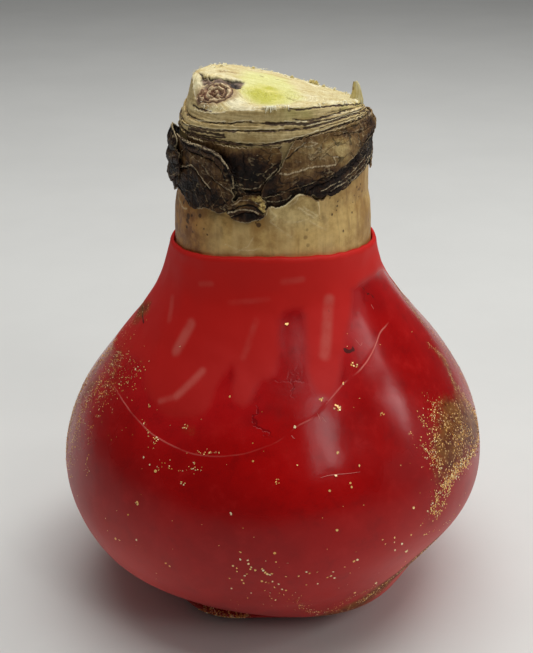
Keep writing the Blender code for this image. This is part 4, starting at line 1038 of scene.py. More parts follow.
def cutRelief(x, y, marks):  # fibres, scale rings and hollows on the cut
    relief = 0.16 * grainAt(marks["ring"] * 2.6, marks["bearing"] * 0.022, 0, 2)
    relief += 0.12 * grainAt(x * 1.9, y * 1.9, 0, 2)
    fold = grainAt(x * 0.25 + y * 0.5, (y - 0.35 * x) * 1.5, 0, 2)
    relief -= ease(-0.4, 0.8, marks["crevice"]) * (0.4 + 0.5 * fold) + 0.9 * marks["gash"]
    relief -= 0.3 * ease(0, 0.35, marks["scar"])
    torn = np.clip((-x - 3) / 10, 0, 1)
    return relief + 0.34 * torn * grainAt(x * 0.55, y * 0.55, 0, 3)


def cutLevel(x, y):
    return cutHeight(x, y) + cutRelief(x, y, cutMarks(x, y))


def neckProfile():  # levels and radii of the neck's side, in even steps along it
    levels, radii = np.array(flesh["side"]).T
    travelled = np.concatenate([[0], np.cumsum(np.hypot(np.diff(levels), np.diff(radii)))])
    steps = np.concatenate([
        np.linspace(0, travelled[1], 8, endpoint=False),
        np.arange(travelled[1], travelled[-1], flesh["sidePitch"]), [travelled[-1]],
    ])
    return np.interp(steps, travelled, levels), np.interp(steps, travelled, radii)


def rimShift(turns, levels, edge):  # how far each level is moved to follow the rims and the cut
    first, last = flesh["side"][0][0], flesh["side"][-1][0]
    stops = [first] + [at for at, _ in flesh["rims"]] + [last]
    shifts = [0 * turns] + [around(rim, turns) - at for at, rim in flesh["rims"]] + [edge - last]
    return np.stack([np.interp(levels, stops, column) for column in np.stack(shifts, axis=1)], axis=1)


def neckSide(turns):  # radius and height of the neck's side in mm, and its marks
    levels, radii = neckProfile()
    turn, level = np.meshgrid(turns, levels)
    edge = edgeRadius(turns)
    cutEdge = cutHeight(*(edge * onCircle(1, turns, 0)[:, :2].T)) - flesh["edgeDrop"]
    narrow = edge / flesh["cutRadius"]
    circle = onCircle(1, turn, 0)
    lip = sum(size * np.exp(-(((level - at) / 0.35) ** 2)) for at, size in flesh["lips"])
    height = level + rimShift(turns, levels, cutEdge)
    height = height + lip * grain(circle * 19 + level[..., None] * 0.15, 1, 3)
    height = height + ease(*flesh["frayFrom"], level) * 0.22 * grain(circle * 14, 1, 3)
    marks = {}
    for name in ("ink", "glint"):
        marks[name] = lineMarks(turn, height * mm, flesh[name], flesh["lineRadius"])
    rough = 0.1 * grainAt(turn * 0.05, height * 3.2, 0, 2) + 0.045 * grainAt(turn * 0.55, height * 0.6, 3)
    rough = (rough - 0.2 * marks["ink"] + 0.1 * marks["glint"]) * ease(*flesh["roughFrom"], level)
    radius = radii[:, None] * (1 + (narrow - 1) * ease(*flesh["taperFrom"], level)) + rough
    marks["level"] = level
    marks["cut"] = np.zeros(turn.shape)
    marks["cut"][-1] = 0.6
    return radius, height, marks


def neckCut(turns, radius, height):  # the cut inside the side's last ring, in mm, and its marks
    shares = np.linspace(1, 0, flesh["cutRings"] + 1)[1:-1] ** 0.9
    shares = np.concatenate([[0.992, 0.98], shares * 0.97])
    x, y, _ = np.moveaxis(onCircle(shares[:, None] * radius, turns, 0), -1, 0)
    marks = cutMarks(x, y)
    rim = ease(0.955, 1, np.hypot(x, y) / edgeRadius(turns))
    tall = (cutHeight(x, y) + cutRelief(x, y, marks)) * (1 - rim) + (height + 0.06) * rim
    return np.stack([x, y, tall], axis=-1), marks


def neckBody(turns):  # the bulb inside the wax, from its floor up
    turn, height = np.meshgrid(turns, np.array(flesh["body"]) * mm)
    inSkin = paleOuter(height) - flesh["inSkin"] * mm
    inWax = waxInner(height) - flesh["inWax"] * mm
    radius = np.where(height >= wax["neckFrom"] * mm, inSkin, inWax)
    footRadius = waxInner(np.array(wax["floor"] * mm)) - flesh["footInset"] * mm
    foot = onCircle(footRadius, turns, flesh["foot"] * mm)[None]
    return np.concatenate([foot, onCircle(radius, turn, height)])


def makeNeckFlesh(finish):
    turns = turnsRound(*flesh["front"], *flesh["columns"])
    radius, height, sideMarks = neckSide(turns)
    top, topMarks = neckCut(turns, radius[-1], height[-1])
    parts = [neckBody(turns), onCircle(radius * mm, turns, height * mm), top * mm]
    grid = settle(np.concatenate(parts))
    ends = settle(np.array([[0, 0, flesh["foot"] * mm], [0, 0, float(cutHeight(0, 0)) * mm]]))
    edge = edgeRadius(turns)
    sideMarks |= cutMarks(*(edge * onCircle(1, turns, 0)[:, :2].T))
    topMarks |= {"ink": 0, "glint": 0, "level": flesh["cutHeight"], "cut": 1}
    marks = {}
    for name in sideMarks:
        values = (flesh["hidden"].get(name, 0), sideMarks[name], topMarks[name])
        filled = [np.broadcast_to(value, part.shape[:2]) for value, part in zip(values, parts)]
        filled = np.concatenate(filled).astype(float)
        marks[name] = np.append(filled.ravel(), [filled[0, 0], filled[-1].mean()])
    points = np.vstack([grid.reshape(-1, 3), ends])
    piece = makeMesh("neckFlesh", points, cappedFaces(*grid.shape[:2]), marks)
    return dress(piece, finish, "bulb_flesh", "bulb")


# Green shoot in the middle of the cut, and the dried scar of last year's flower stalk beside it


def plugPoints(grid, place, top, bottom):  # a round plug in mm: place(share, bearing) and top(x, y, share)
    shares, bearings = np.linspace(0, 1, grid[0])[1:], np.linspace(0, 360, grid[1], endpoint=False)
    share, bearing = np.meshgrid(shares, np.radians(bearings), indexing="ij")
    x, y = place(share, bearing)
    rings = np.stack([x, y, top(x, y, share)], axis=-1)
    wall = np.repeat(rings[-1:], 2, axis=0)
    wall[0, :, 2] -= 0.8
    wall[1, :, 2] = bottom
    centre = rings[0].mean(axis=0)
    return np.vstack([rings.reshape(-1, 3), wall.reshape(-1, 3), centre, [centre[0], centre[1], bottom]])


def makeGreenShoot(finish):
    middleX, middleY, wide, deep = flesh["shoot"]
    rings, columns = flesh["shootGrid"]

    def place(share, bearing):
        return middleX + wide * share * np.cos(bearing), middleY + deep * share * np.sin(bearing)

    def top(x, y, share):
        leaves = 0.05 * np.sin(5.3 * np.hypot(x - middleX, (y - middleY) * 0.7)) * (1 - share)
        return cutLevel(x, y) + 0.07 * (1 - ease(0.72, 1, share)) - 0.1 * ease(0.93, 1, share) + leaves

    points = plugPoints((rings, columns), place, top, flesh["shootBottom"])
    marks = cutMarks(points[:, 0], points[:, 1])
    marks["cut"] = np.ones(len(points))
    marks["level"] = np.full(len(points), flesh["cutHeight"])
    piece = makeMesh("greenShoot", settle(points * mm), cappedFaces(rings + 1, columns), marks)
    return dress(piece, finish, "green_shoot", "green_shoot")


def scarFolds(x, y):
    long, across = scarPlace(x, y)
    share, bearing = np.hypot(long, across), np.arctan2(across, long)
    folds = grainAt(long * 3.4 + 0.5 * across, across * 4.6, share * 0.4, 4)
    spiral = np.sin(19 * share + 0.6 * np.sin(bearing) + 2.2 * folds)
    return share, folds, spiral


def makeFlowerScar(finish):
    middleX, middleY, long, wide, bearing = flesh["scar"]
    cos, sin = math.cos(bearing * degree), math.sin(bearing * degree)
    rings, columns = flesh["scarGrid"]

    def place(share, turn):
        ahead, aside = long * share * np.cos(turn), wide * share * np.sin(turn)
        return middleX + ahead * cos - aside * sin, middleY + ahead * sin + aside * cos

    def top(x, y, share):
        part, folds, spiral = scarFolds(x, y)
        inside = 1 - ease(0.84, 1, part)
        return cutLevel(x, y) + inside * (0.3 + 0.2 * spiral + 0.32 * folds) - 0.12 * (1 - inside)

    points = plugPoints((rings, columns), place, top, flesh["scarBottom"])
    marks = dict(zip(("share", "folds", "spiral"), scarFolds(points[:, 0], points[:, 1])))
    piece = makeMesh("flowerScar", settle(points * mm), cappedFaces(rings + 1, columns), marks)
    return dress(piece, finish, "withered_stalk", "old_flower_stalk")


# Pale papery skin that fits the neck like a sleeve, with a thin torn flap in front of the dark skins

pale = {
    "outline": [  # levels and radii
        (63, 25.2), (66, 23.4), (70, 21.7), (74, 20.6), (78, 20.2), (84, 20.1), (86.5, 19.9), (89, 19.4),
    ],
    "top": [
        (-170, 90.5), (-140, 89.5), (-115, 89.3), (-100, 88.7), (-96.5, 88.7), (-94.5, 89.7), (-91.8, 90.5),
        (-84, 90.9), (-80, 92), (-75.6, 92.9), (-71, 92.8), (-67, 91.8), (-64, 91.4), (-60, 91.4),
        (-56, 92.6), (-47, 93.6), (-36, 94.5), (-20, 95.2), (20, 94.6), (60, 93), (110, 93.5), (150, 92.5),
    ],
    "bottom": 64.4,
    "inset": 0.15,
    "thickness": 0.3,
    "columns": (310, 90),
    "rows": (7, 66),
    "flap": (-79, 15.8),  # its middle and half its width
    "flapFrom": (84.6, 88.6),
    "flapRadius": 19.95,
    "leftBrown": (-166, 12, 58),  # where the skin is darker brown: its middle, and how far it is full and reaches
    "rightStain": (-48, -12, 90, 140),  # where it starts, is full, starts to end and ends
    "lineRadius": 20,
    "pale": [  # pale lines: width, strength and points
        (0.14, 1, [(-93.8, 89.1), (-93.2, 90.2), (-91.8, 90.5), (-84, 90.9), (-80, 92), (-75.6, 92.9),
            (-71, 92.8), (-67, 91.8), (-64.3, 91), (-63.8, 90), (-63.3, 88.5)]),
        (0.13, 0.9, [(-76.1, 90.4), (-71.9, 89.3), (-66.7, 87.9)]),
        (0.11, 0.8, [(-74.1, 90.5), (-69.7, 89.5), (-65.1, 88.3)]),
        (0.12, 0.6, [(-91.8, 90.1), (-88.4, 88.9), (-91.8, 87.9), (-86.4, 86.1), (-80, 84.6)]),
        (0.12, 0.7, [(-81.7, 90.8), (-77.6, 91.6), (-76.3, 92.5)]),
        (0.12, 0.55, [(-83.7, 87.8), (-76.7, 87.5), (-70.3, 88)]),
        (0.12, 0.55, [(-69.6, 87.5), (-64.3, 86.2), (-59.5, 85.2)]),
        (0.2, 0.8, [(-170, 88.6), (-160, 87.6), (-154, 87), (-150, 87.3)]),
        (0.12, 0.6, [(-118, 82.5), (-108, 81.6), (-97, 82.2)]),
        (0.12, 0.5, [(-112, 80.8), (-104, 82.6), (-101, 84.4)]),
    ],
    "dark": [  # dark lines and streaks: the line along the dark skins' lower edges and the line beside the flap's right edge are painted shadow, the others are streaks in the skin
        (0.3, 0.8, [(-96, 88.4), (-104, 87.2), (-110, 87.5), (-118, 88), (-130, 88.2)]),
        (0.5, 0.55, [(-63, 91.2), (-61.5, 89), (-61, 87)]),
        (0.22, 0.5, [(-43, 92), (-42.5, 88), (-41.5, 84)]),
        (0.3, 0.45, [(-33, 93), (-33.5, 88), (-32.5, 82)]), (0.35, 0.6, [(-22, 94), (-22, 88), (-21, 80)]),
        (0.22, 0.4, [(-52, 90), (-51, 86), (-50, 82)]), (0.25, 0.35, [(-97, 86.5), (-92, 84), (-90, 81)]),
    ],
    "spots": [  # brown specks: angle, level, size and strength
        (-146.8, 85.9, 0.75, 1), (-147.8, 84.9, 0.6, 1), (-148.7, 83.6, 0.4, 0.9), (-136, 87, 0.5, 0.9),
        (-144, 86.4, 0.5, 0.7), (-142.1, 83.1, 0.36, 0.7), (-129.9, 83.6, 0.36, 0.8), (-154.8, 88, 0.5, 0.9),
        (-98.2, 86.9, 0.5, 1), (-98.6, 87.8, 0.3, 0.9), (-132.4, 84.6, 0.3, 0.7), (-138.6, 84.9, 0.26, 0.7),
        (-99.8, 87.3, 0.3, 0.6), (-55.8, 91.3, 0.24, 0.9), (-46.5, 90.7, 0.24, 0.7),
        (-49.8, 90.2, 0.28, 0.9), (-50.3, 89.3, 0.3, 1), (-51.1, 88.5, 0.24, 0.8), (-54.6, 87.9, 0.28, 1),
        (-38.5, 87.2, 0.26, 0.9), (-46.8, 84.1, 0.24, 1), (-30.9, 91.2, 0.3, 1), (-32.9, 91.9, 0.26, 1),
        (-27.5, 92, 0.3, 1), (-34.8, 90.3, 0.24, 0.8), (-29.2, 89.6, 0.26, 0.8), (-63.4, 87.6, 0.2, 0.6),
        (-36, 89, 0.22, 0.7), (-132, 86, 0.35, 0.5), (-25, 90.4, 0.28, 0.8), (-42.4, 92.6, 0.22, 0.8),
        (60, 88, 0.5, 0.8), (66, 86.4, 0.4, 0.7), (120, 85, 0.5, 0.8), (150, 87, 0.5, 0.8),
    ],
}


def spotMarks(turn, height, spots, radius):  # how strongly points lie on round spots, as in lineMarks
    found = np.zeros(turn.shape)
    for middle, level, size, strength in spots:
        away = np.hypot(wrap(turn, middle) * degree * radius, height / mm - level)
        found = np.maximum(found, strength * np.exp(-((away / size) ** 2)))
    return found


def paleTop(turn):  # its torn upper edge
    tear = 0.4 * grainAt(turn * 0.31, 5, 0.4) + 0.16 * grainAt(turn * 1.3, 2, 0, 3)
    return (around(pale["top"], turn) + tear) * mm


def makePaleSleeve(finish):
    below, above = pale["rows"]
    shares = np.concatenate([np.linspace(0, 0.5, below, endpoint=False), np.linspace(0.5, 1, above)])
    turn, up = np.meshgrid(turnsRound(*flesh["front"], *pale["columns"]), shares)
    height = pale["bottom"] * mm + (paleTop(turn) - pale["bottom"] * mm) * up
    level = height / mm
    middle, half = pale["flap"]
    flap = 1 - ease(half - 2, half + 1, np.abs(wrap(turn, middle)))
    flap *= ease(*pale["flapFrom"], level)
    radius = paleOuter(height) / mm - pale["inset"]
    radius = radius + flap * (pale["flapRadius"] - radius)
    marks = {name: lineMarks(turn, height, pale[name], pale["lineRadius"]) for name in ("pale", "dark")}
    marks["spots"] = spotMarks(turn, height, pale["spots"], pale["lineRadius"])
    marks["flap"] = flap
    marks["edge"] = (paleTop(turn) - height) / mm
    middle, full, end = pale["leftBrown"]
    marks["left"] = 1 - ease(full, end, np.abs(wrap(turn, middle)))
    start, full, fading, end = pale["rightStain"]
    marks["right"] = ease(start, full, turn) * (1 - ease(fading, end, turn))
    ribs = grainAt(turn * 0.42, level * 0.045, 7, 3)
    radius += 0.022 * ribs + 0.12 * grainAt(turn * 0.1, level * 0.3, 1, 2)
    radius += 0.05 * (marks["pale"] - marks["dark"]) - 0.04 * marks["spots"]
    radius += flap * 0.14 * grainAt(turn * 0.16, level * 0.5, 0)
    grid = settle(onCircle(radius * mm, turn, height))
    piece = makeMesh("paleSleeve", grid, gridFaces(*turn.shape, True), marks)
    thicken(piece, pale["thickness"])
    return dress(piece, finish, "pale_skin", "pale_skin")


# Dark papery skins: torn sheets in layers round the top of the neck

darkSkins = {
    "radius": 19.1,
    "layer": 0.72,
    "thickness": 0.26,
    "pitch": 0.33,  # mm round the neck in one degree
    "violet": 0.42,
    "seed": 11,
}

# Each sheet has its torn edges, the layers that they lie in, its grid, its tones as ovals, and its lines: the
# dark lines are painted shade under edges and in folds, and the light lines are painted highlights on ridges
# and rolled edges, with pale torn edges among them.
# Some lean at an end, curl below, roll out above or bulge between.
frontSkin = {
    "piece": "darkSkinFront",
    "nodes": ["dark_skin_front"],
    "span": (-150, -85),
    "lower": [
        (-150, 96), (-132, 94), (-124, 91.2), (-112, 90.6), (-101, 89.9), (-97, 89.9), (-95, 94.2),
        (-91, 96), (-85, 98.2),
    ],
    "upper": [(-150, 102), (-136, 101.9), (-124, 101.9), (-111, 101.7), (-95, 101.8), (-85, 102.3)],
    "ragged": 0.2,
    "grid": (170, 74),
    "base": 0.2,
    "tone": [
        (-104, 96.5, 14, 3.4, 0.06), (-104, 101.9, 30, 1.3, 0.62), (-92, 101, 8, 2, 0.5),
        (-104, 91.5, 20, 1.5, 0.1), (-138, 101.4, 16, 1.2, 0.42),
    ],
    "dark": [
        (0.3, 1, [(-116, 96.5), (-113, 95.2), (-108.2, 93.2), (-99.9, 93.2), (-97.2, 93.3)]),
        (0.25, 0.6, [(-107.5, 101), (-106.5, 97)]),
    ],
    "light": [
        (0.14, 0.8, [(-115.4, 94.5), (-111, 94.2), (-108.2, 93.85), (-104, 93.8), (-98.5, 94.1),
            (-95.2, 95.2), (-92.5, 96.4), (-87.8, 97.9)]),
        (0.1, 0.5, [(-118.5, 93.3), (-113.9, 92.9), (-109.6, 92.6), (-104, 92.6), (-98, 92.2)]),
    ],
}
stripSkin = {
    "piece": "darkSkinStrip",
    "nodes": ["dark_skin_strip"],
    "span": (-94.5, [(0, -6), (0.35, 9), (0.6, -2), (1, 13)]),
    "lower": [
        (-94.5, 89.9), (-84, 90.2), (-72, 90.6), (-67, 92.3), (-64, 91.5), (-60, 92.1), (-56, 91.9),
        (-52, 92.3), (-45, 92.9), (-36, 94.1), (-25, 95.4), (-8, 96.2), (12, 98.2),
    ],
    "upper": [(-94.5, 93.4), (-90, 94.2), (-80, 95.2), (-64, 96.7), (-47, 98.9), (-30, 101.2), (-8, 101.6)],
    "low": [(-66, 0), (-59, 1)],
    "high": [(-64, 0), (-58, 0.6), (-40, 0.5), (-24, 1)],
    "curl": [(-58, 0), (-50, 0.35), (-40, 0), (-30, 0.28), (-20, 0)],
    "ragged": 0.28,
    "grid": (230, 44),
    "base": 0.16,
    "violet": 0.85,
    "tone": [(-84, 92.6, 9, 1.2, 0.28), (-40, 95.2, 16, 0.8, 0.34), (-60, 92.6, 6, 0.7, 0.08)],
    "dark": [
        (0.24, 1, [(-69.3, 93.4), (-64.1, 94.3), (-59.5, 94.6), (-56.2, 95.2), (-51, 95.4), (-45.3, 96),
            (-37.6, 97.4), (-29.2, 98.8), (-20, 100.2)]),
        (0.18, 0.9, [(-60.2, 93.3), (-54.5, 94), (-47.3, 94.6), (-38.7, 95.6), (-27.5, 97.6), (-16, 99)]),
        (0.16, 0.8, [(-58, 92.5), (-50, 93.4), (-40, 94.7), (-30, 96), (-18, 97.6)]),
    ],
    "light": [
        (0.13, 1, [(-62, 93), (-56, 94), (-49, 94.5), (-40, 95.6), (-31, 97.2), (-18, 98.8)]),
        (0.12, 0.9, [(-57, 92.9), (-51, 93.7), (-44.1, 94.2), (-33.7, 95.6), (-21.8, 97.2)]),
        (0.12, 0.9, [(-44.1, 93.5), (-33.7, 94.8), (-21.8, 96.3), (-10.9, 97.5)]),
        (0.12, 0.8, [(-93.2, 91.6), (-87.8, 91.5), (-82.4, 91.9), (-79.7, 92.6)]),
    ],
}
rightSkin = {
    "piece": "darkSkinRight",
    "nodes": ["dark_skin_right"],
    "span": (
        [(0, -97), (0.25, -95.4), (0.38, -92.4), (0.5, -88), (0.7, -84), (1, -79)],
        [(0, -3), (0.3, 12), (0.5, 5), (0.8, 22), (1, 27)],
    ),
    "lower": [
        (-96, 92.4), (-89, 92.8), (-81, 93.7), (-73, 94.4), (-64, 95.3), (-56, 96.3), (-47, 97.7),
        (-38, 99.2), (-30, 100.4), (-12, 101.8), (24, 102.4),
    ],
    "upper": [
        (-96, 101.6), (-86, 102.3), (-80, 102.9), (-74, 103.4), (-66, 103.9), (-58, 104.3), (-48, 104.6),
        (-38, 104.9), (-12, 105), (10, 104.5), (27, 103.4),
    ],
    "low": [(-66, 1), (-56, 1.8)],
    "high": [(-88, 1), (-80, 0.25), (-74, 0), (-40, 0.15), (-20, 0.7)],
    "ragged": 0.2,
    "grid": (250, 70),
    "base": 0.58,
    "tone": [
        (-93, 97, 7, 3, 0.1), (-90, 93.5, 9, 1.4, 0.12), (-76, 95.2, 10, 1, 0.2), (-60, 96.8, 8, 0.7, 0.22),
        (-52, 100.8, 14, 2, 0.85), (-70, 101.8, 8, 1, 0.72), (-40, 103.6, 20, 0.8, 0.4),
        (-28, 101.6, 6, 1.6, 0.35), (-80, 98.8, 7, 1, 0.45), (-84, 101, 5, 0.8, 0.35),
        (-18, 102.5, 8, 3, 0.2),
    ],
    "dark": [
        (0.3, 0.8, [(-95.2, 97.2), (-93.2, 98.4), (-87.8, 98.9), (-82.5, 100), (-77, 101.5), (-72, 102.6)]),
        (0.25, 0.9, [(-93.1, 92.9), (-86.5, 93.4), (-79.8, 94.3), (-72.2, 94.6), (-65.7, 95.3),
            (-59.5, 96)]),
        (0.3, 0.8, [(-38, 99.3), (-30.4, 100.4), (-22.2, 101.7), (-14, 102.6)]),
        (0.16, 0.6, [(-63, 104.1), (-52, 104.1), (-40, 104.3), (-20, 104.4)]),
        (0.15, 0.6, [(-52, 103.2), (-44, 103.3), (-34, 102.9), (-20, 103.2)]),
        (0.13, 0.5, [(-68, 99.1), (-63.3, 100.1), (-55.8, 101.4), (-48, 102.4)]),
    ],
    "light": [
        (0.19, 1, [(-86.5, 97.2), (-81.8, 97), (-77.1, 97.4), (-72.9, 97.7), (-70.1, 98), (-65.7, 98.1),
            (-60.3, 98), (-55.4, 98.1)]),
        (0.16, 0.9, [(-55.4, 98), (-54.8, 98.8), (-56.4, 99.6), (-53.4, 99.5)]),
        (0.12, 0.5, [(-84.5, 95.8), (-79.8, 96.4), (-75.7, 97.1)]),
        (0.1, 0.5, [(-86.5, 98.4), (-83.8, 98.1), (-79.8, 98)]),
        (0.15, 0.8, [(-79, 101.2), (-77.6, 101.7), (-73.3, 102.4), (-68.8, 102.8), (-65.2, 102.3),
            (-69.8, 101.9), (-73.4, 101.9)]),
        (0.13, 0.6, [(-76.3, 101.2), (-72.8, 100.7), (-67, 100.5), (-63.1, 101.5)]),
        (0.12, 0.6, [(-53.5, 103.5), (-45.7, 103.7), (-41, 103.3), (-29.8, 103.4)]),
        (0.12, 0.5, [(-68, 99.6), (-63.3, 100.6), (-55.8, 101.9), (-50.1, 102.6)]),
    ],
}
tongueSkin = {
    "piece": "darkSkinTongue",
    "nodes": ["dark_skin_tongue"],
    "span": (-116.5, -94),
    "lower": [(-116.5, 88.9), (-112.8, 87.9), (-106.2, 87.3), (-99.3, 87.9), (-96, 88.3), (-94, 89)],
    "upper": [(-116.5, 89.6), (-112, 91.2), (-106.8, 92.5), (-101.2, 92.8), (-97.2, 92.6), (-94, 91.4)],
    "low": 1.25,
    "high": 1.15,
    "curl": [(-116.5, 0), (-104, 0.35), (-94, 0)],
    "ragged": 0.15,
    "grid": (80, 46),
    "base": 0.3,
    "tone": [(-104, 88.6, 9, 0.6, 0.12), (-107, 90.9, 6, 0.4, 0.6)],
    "gold": [(-99, 92.2, 5.5, 0.7), (-95.5, 90.6, 2.3, 1.5)],
    "dark": [
        (0.3, 1, [(-114.2, 89.1), (-109.7, 90.4), (-104.1, 90.9), (-99.9, 90.5), (-95.9, 89.4)]),
        (0.26, 1, [(-111.3, 88.3), (-106.9, 89.2), (-101.3, 89.2), (-97.2, 88.7)]),
        (0.2, 0.7, [(-103, 92), (-99, 91.4), (-96.5, 90.4)]),
    ],
    "light": [
        (0.17, 0.9, [(-115.7, 88.9), (-112.3, 89.2), (-108.3, 89.9), (-104.1, 90), (-97.9, 89.3)]),
        (0.14, 0.7, [(-113, 90.6), (-107.5, 91.7), (-102, 91.9), (-97, 91)]),
    ],
}
leftSkin = {
    "piece": "darkSkinLeft",
    "nodes": ["dark_skin_left"],
    "span": (-166, -112),
    "lower": [
        (-166, 90.2), (-160, 90.6), (-154, 90.3), (-150.6, 89.9), (-143.9, 88.3), (-138, 88.2), (-131.8, 89),
        (-127.2, 89), (-121.3, 88.5), (-115.7, 89.3), (-112, 90.4),
    ],
    "upper": [
        (-166, 101.2), (-150, 101.3), (-140, 101.2), (-131.5, 101.3), (-124.4, 100.9), (-120.1, 100.2),
        (-117, 99.1), (-114.6, 97.9), (-112, 96),
    ],
    "low": 1,
    "high": [(-166, 0.5), (-150, 0.9), (-128, 1.25), (-112, 1.4)],
    "curl": [(-166, 0), (-150, 0.3), (-138, 0.1), (-128, 0.35), (-118, 0)],
    "roll": [(-166, 0.1), (-150, 0.35), (-138, 0.5), (-124, 0.5), (-112, 0.3)],
    "ragged": 0.2,
    "grid": (190, 84),
    "base": 0.26,
    "tone": [
        (-140, 91.8, 15, 2.4, 0.1), (-140, 98.2, 10, 1.3, 0.42), (-124, 95.8, 7, 1.6, 0.4),
        (-117, 92.8, 6, 1.2, 0.36), (-156, 98.5, 6, 2.2, 0.36), (-126, 90.2, 5, 1, 0.24),
        (-158, 92, 5, 1.6, 0.08),
    ],
    "dark": [
        (0.3, 1, [(-152, 100.7), (-139.8, 100.6), (-131.5, 100.6), (-124.4, 100.2), (-120.1, 99.5),
            (-117, 98.4), (-114.6, 97.1), (-113, 95.8)]),
        (0.26, 1, [(-150, 99.6), (-139.8, 99.4), (-131.5, 99.2), (-124.4, 98.8), (-121.1, 97.8),
            (-119, 96.6), (-117.4, 95.4)]),
        (0.6, 1, [(-116.9, 97.2), (-113.9, 96), (-112.5, 94.6)]),
        (0.2, 0.8, [(-160.6, 94.7), (-149.3, 95.5), (-142.7, 96.3), (-138, 95.7), (-133, 94.3),
            (-129.3, 93.3), (-126.8, 92.7)]),
        (0.18, 0.6, [(-128.3, 95.7), (-123.2, 94.5), (-116.9, 93.6), (-112.1, 92.6)]),
        (0.35, 0.8, [(-162.8, 91.4), (-152.6, 90.6), (-146, 89)]),
        (0.25, 0.7, [(-124, 89.6), (-119, 90.4), (-115, 91.6)]),
    ],
    "light": [
        (0.15, 0.9, [(-152, 101.1), (-139.8, 101), (-131.5, 101.1), (-124.4, 100.7), (-120.2, 100),
            (-117, 98.9), (-114.6, 97.7)]),
        (0.15, 1, [(-160.6, 95.1), (-149.3, 95.9), (-142.7, 96.8), (-138, 96.2), (-133, 94.8),
            (-129.3, 93.8), (-126.8, 93.2)]),
        (0.12, 0.7, [(-148.2, 99.6), (-142.7, 99.1), (-133, 97.7), (-128.3, 96.1), (-123.2, 94.9),
            (-116.9, 94), (-113.1, 93.2)]),
        (0.12, 0.6, [(-142.6, 97.9), (-138.2, 99.1), (-134.1, 99.2), (-130, 98.4)]),
        (0.12, 0.6, [(-125.7, 95.5), (-120.8, 94.5), (-113.9, 93.1)]),
        (0.12, 0.6, [(-156.8, 100), (-149.6, 99.7), (-154.3, 98.4), (-156.1, 96.5), (-150, 96)]),
        (0.12, 0.5, [(-136, 97.6), (-133.5, 98.8), (-128, 98.6), (-124, 97.4)]),
        (0.1, 0.5, [(-146, 98.8), (-147, 97.2), (-144, 96.9)]),
        (0.14, 0.5, [(-120.5, 89.3), (-117, 90.4), (-114.6, 91.4)]),
    ],
}
shardHigh = {
    "piece": "darkSkinShardHigh",
    "span": (183, 203),
    "lower": [(183, 98.6), (190, 97.4), (197, 97.8), (203, 98.6)],
    "upper": [(183, 101), (188, 102.6), (194, 102.2), (199, 101.2), (203, 100.2)],
    "low": 2,
    "high": 1.6,
    "bulge": [(183, 0.2), (191, 0.75), (203, 0.2)],
    "ragged": 0.35,
    "grid": (70, 46),
    "base": 0.05,
    "tone": [(196, 100, 5, 1, 0.3)],
    "dark": [(0.3, 0.9, [(190, 98), (191, 100), (193, 102)])],
    "light": [(0.12, 0.44, [(199, 98.6), (199.6, 100), (198, 101.2)])],
}
shardMiddle = {
    "piece": "darkSkinShardMiddle",
    "span": (178, 208),
    "lower": [(178, 94.6), (186, 94.2), (194, 95), (201, 95.6), (208, 96.4)],
    "upper": [(178, 97.6), (185, 98.9), (192, 98.4), (200, 99), (208, 98.2)],
    "low": 2.3,
    "high": 1.9,
    "bulge": [(178, 0.2), (190, 0.7), (208, 0.1)],
    "ragged": 0.45,
    "grid": (90, 46),
    "base": 0.18,
    "violet": 0.5,
    "tone": [(200, 97.4, 6, 1, 0.42), (184, 96.4, 5, 1.2, 0.06)],
    "dark": [
        (0.3, 1, [(189, 94.4), (190, 96.4), (188, 98.6)]), (0.2, 0.9, [(198, 95.6), (201, 97), (206, 97.6)]),
    ],
    "light": [(0.13, 0.55, [(193, 95.4), (196, 96.8), (204, 97.8)])],
}
shardLow = {
    "piece": "darkSkinShardLow",
    "span": (176, 209),
    "lower": [(176, 91.6), (184, 91), (192, 91.6), (200, 93), (209, 94.6)],
    "upper": [(176, 94.6), (183, 96), (190, 95.4), (198, 96.2), (209, 96.4)],
    "low": 2.2,
    "high": 2,
    "bulge": [(176, 0.1), (188, 0.6), (209, 0.1)],
    "ragged": 0.4,
    "grid": (100, 46),
    "base": 0.2,
    "violet": 0.8,
    "tone": [(188, 93.4, 6, 1.2, 0.34), (201, 95, 5, 0.9, 0.1)],
    "dark": [(0.24, 1, [(180, 92), (184, 93.6), (186, 95.4)])],
    "light": [
        (0.14, 0.55, [(179, 94.6), (186, 93), (196, 92.8), (206, 94.6)]),
        (0.12, 0.5, [(192, 95.4), (198, 94.4), (207, 95.6)]),
    ],
}
flakes = {
    "piece": "darkSkinFlakes",
    "nodes": ["dark_skin_flakes"],
    "span": (156, 204),
    "lower": [(156, 92.5), (172, 89.6), (184, 88.8), (190, 89.6), (196, 90.6), (204, 92.5)],
    "upper": [(156, 99), (172, 101.2), (180, 102), (186, 100.4), (192, 99.2), (198, 98.8), (204, 97.6)],
    "low": [(156, 1.8), (168, 1.8), (178, 1.2), (188, 1.1), (199, 1.5)],
    "high": [(156, 1.8), (168, 1.5), (178, 1.4), (188, 1.3), (199, 1.5)],
    "bulge": [(156, 0), (178, 0.8), (190, 0.6), (204, 0.1)],
    "ragged": 0.5,
    "grid": (150, 60),
    "base": 0.14,
    "violet": 0.4,
    "tone": [(190, 94, 8, 2.5, 0.3), (200, 97, 8, 2, 0.25)],
    "dark": [
        (0.4, 0.9, [(182, 90), (184, 95), (186, 101)]), (0.3, 0.8, [(196, 90.5), (200, 95), (197, 99.5)]),
    ],
    "light": [
        (0.14, 0.44, [(187, 89.8), (190, 93.5), (196, 94.8), (206, 95.4)]),
        (0.12, 0.39, [(176, 90.5), (180, 95), (179, 101)]),
        (0.12, 0.39, [(192, 99.6), (197, 98), (203, 98.4)]),
    ],
}
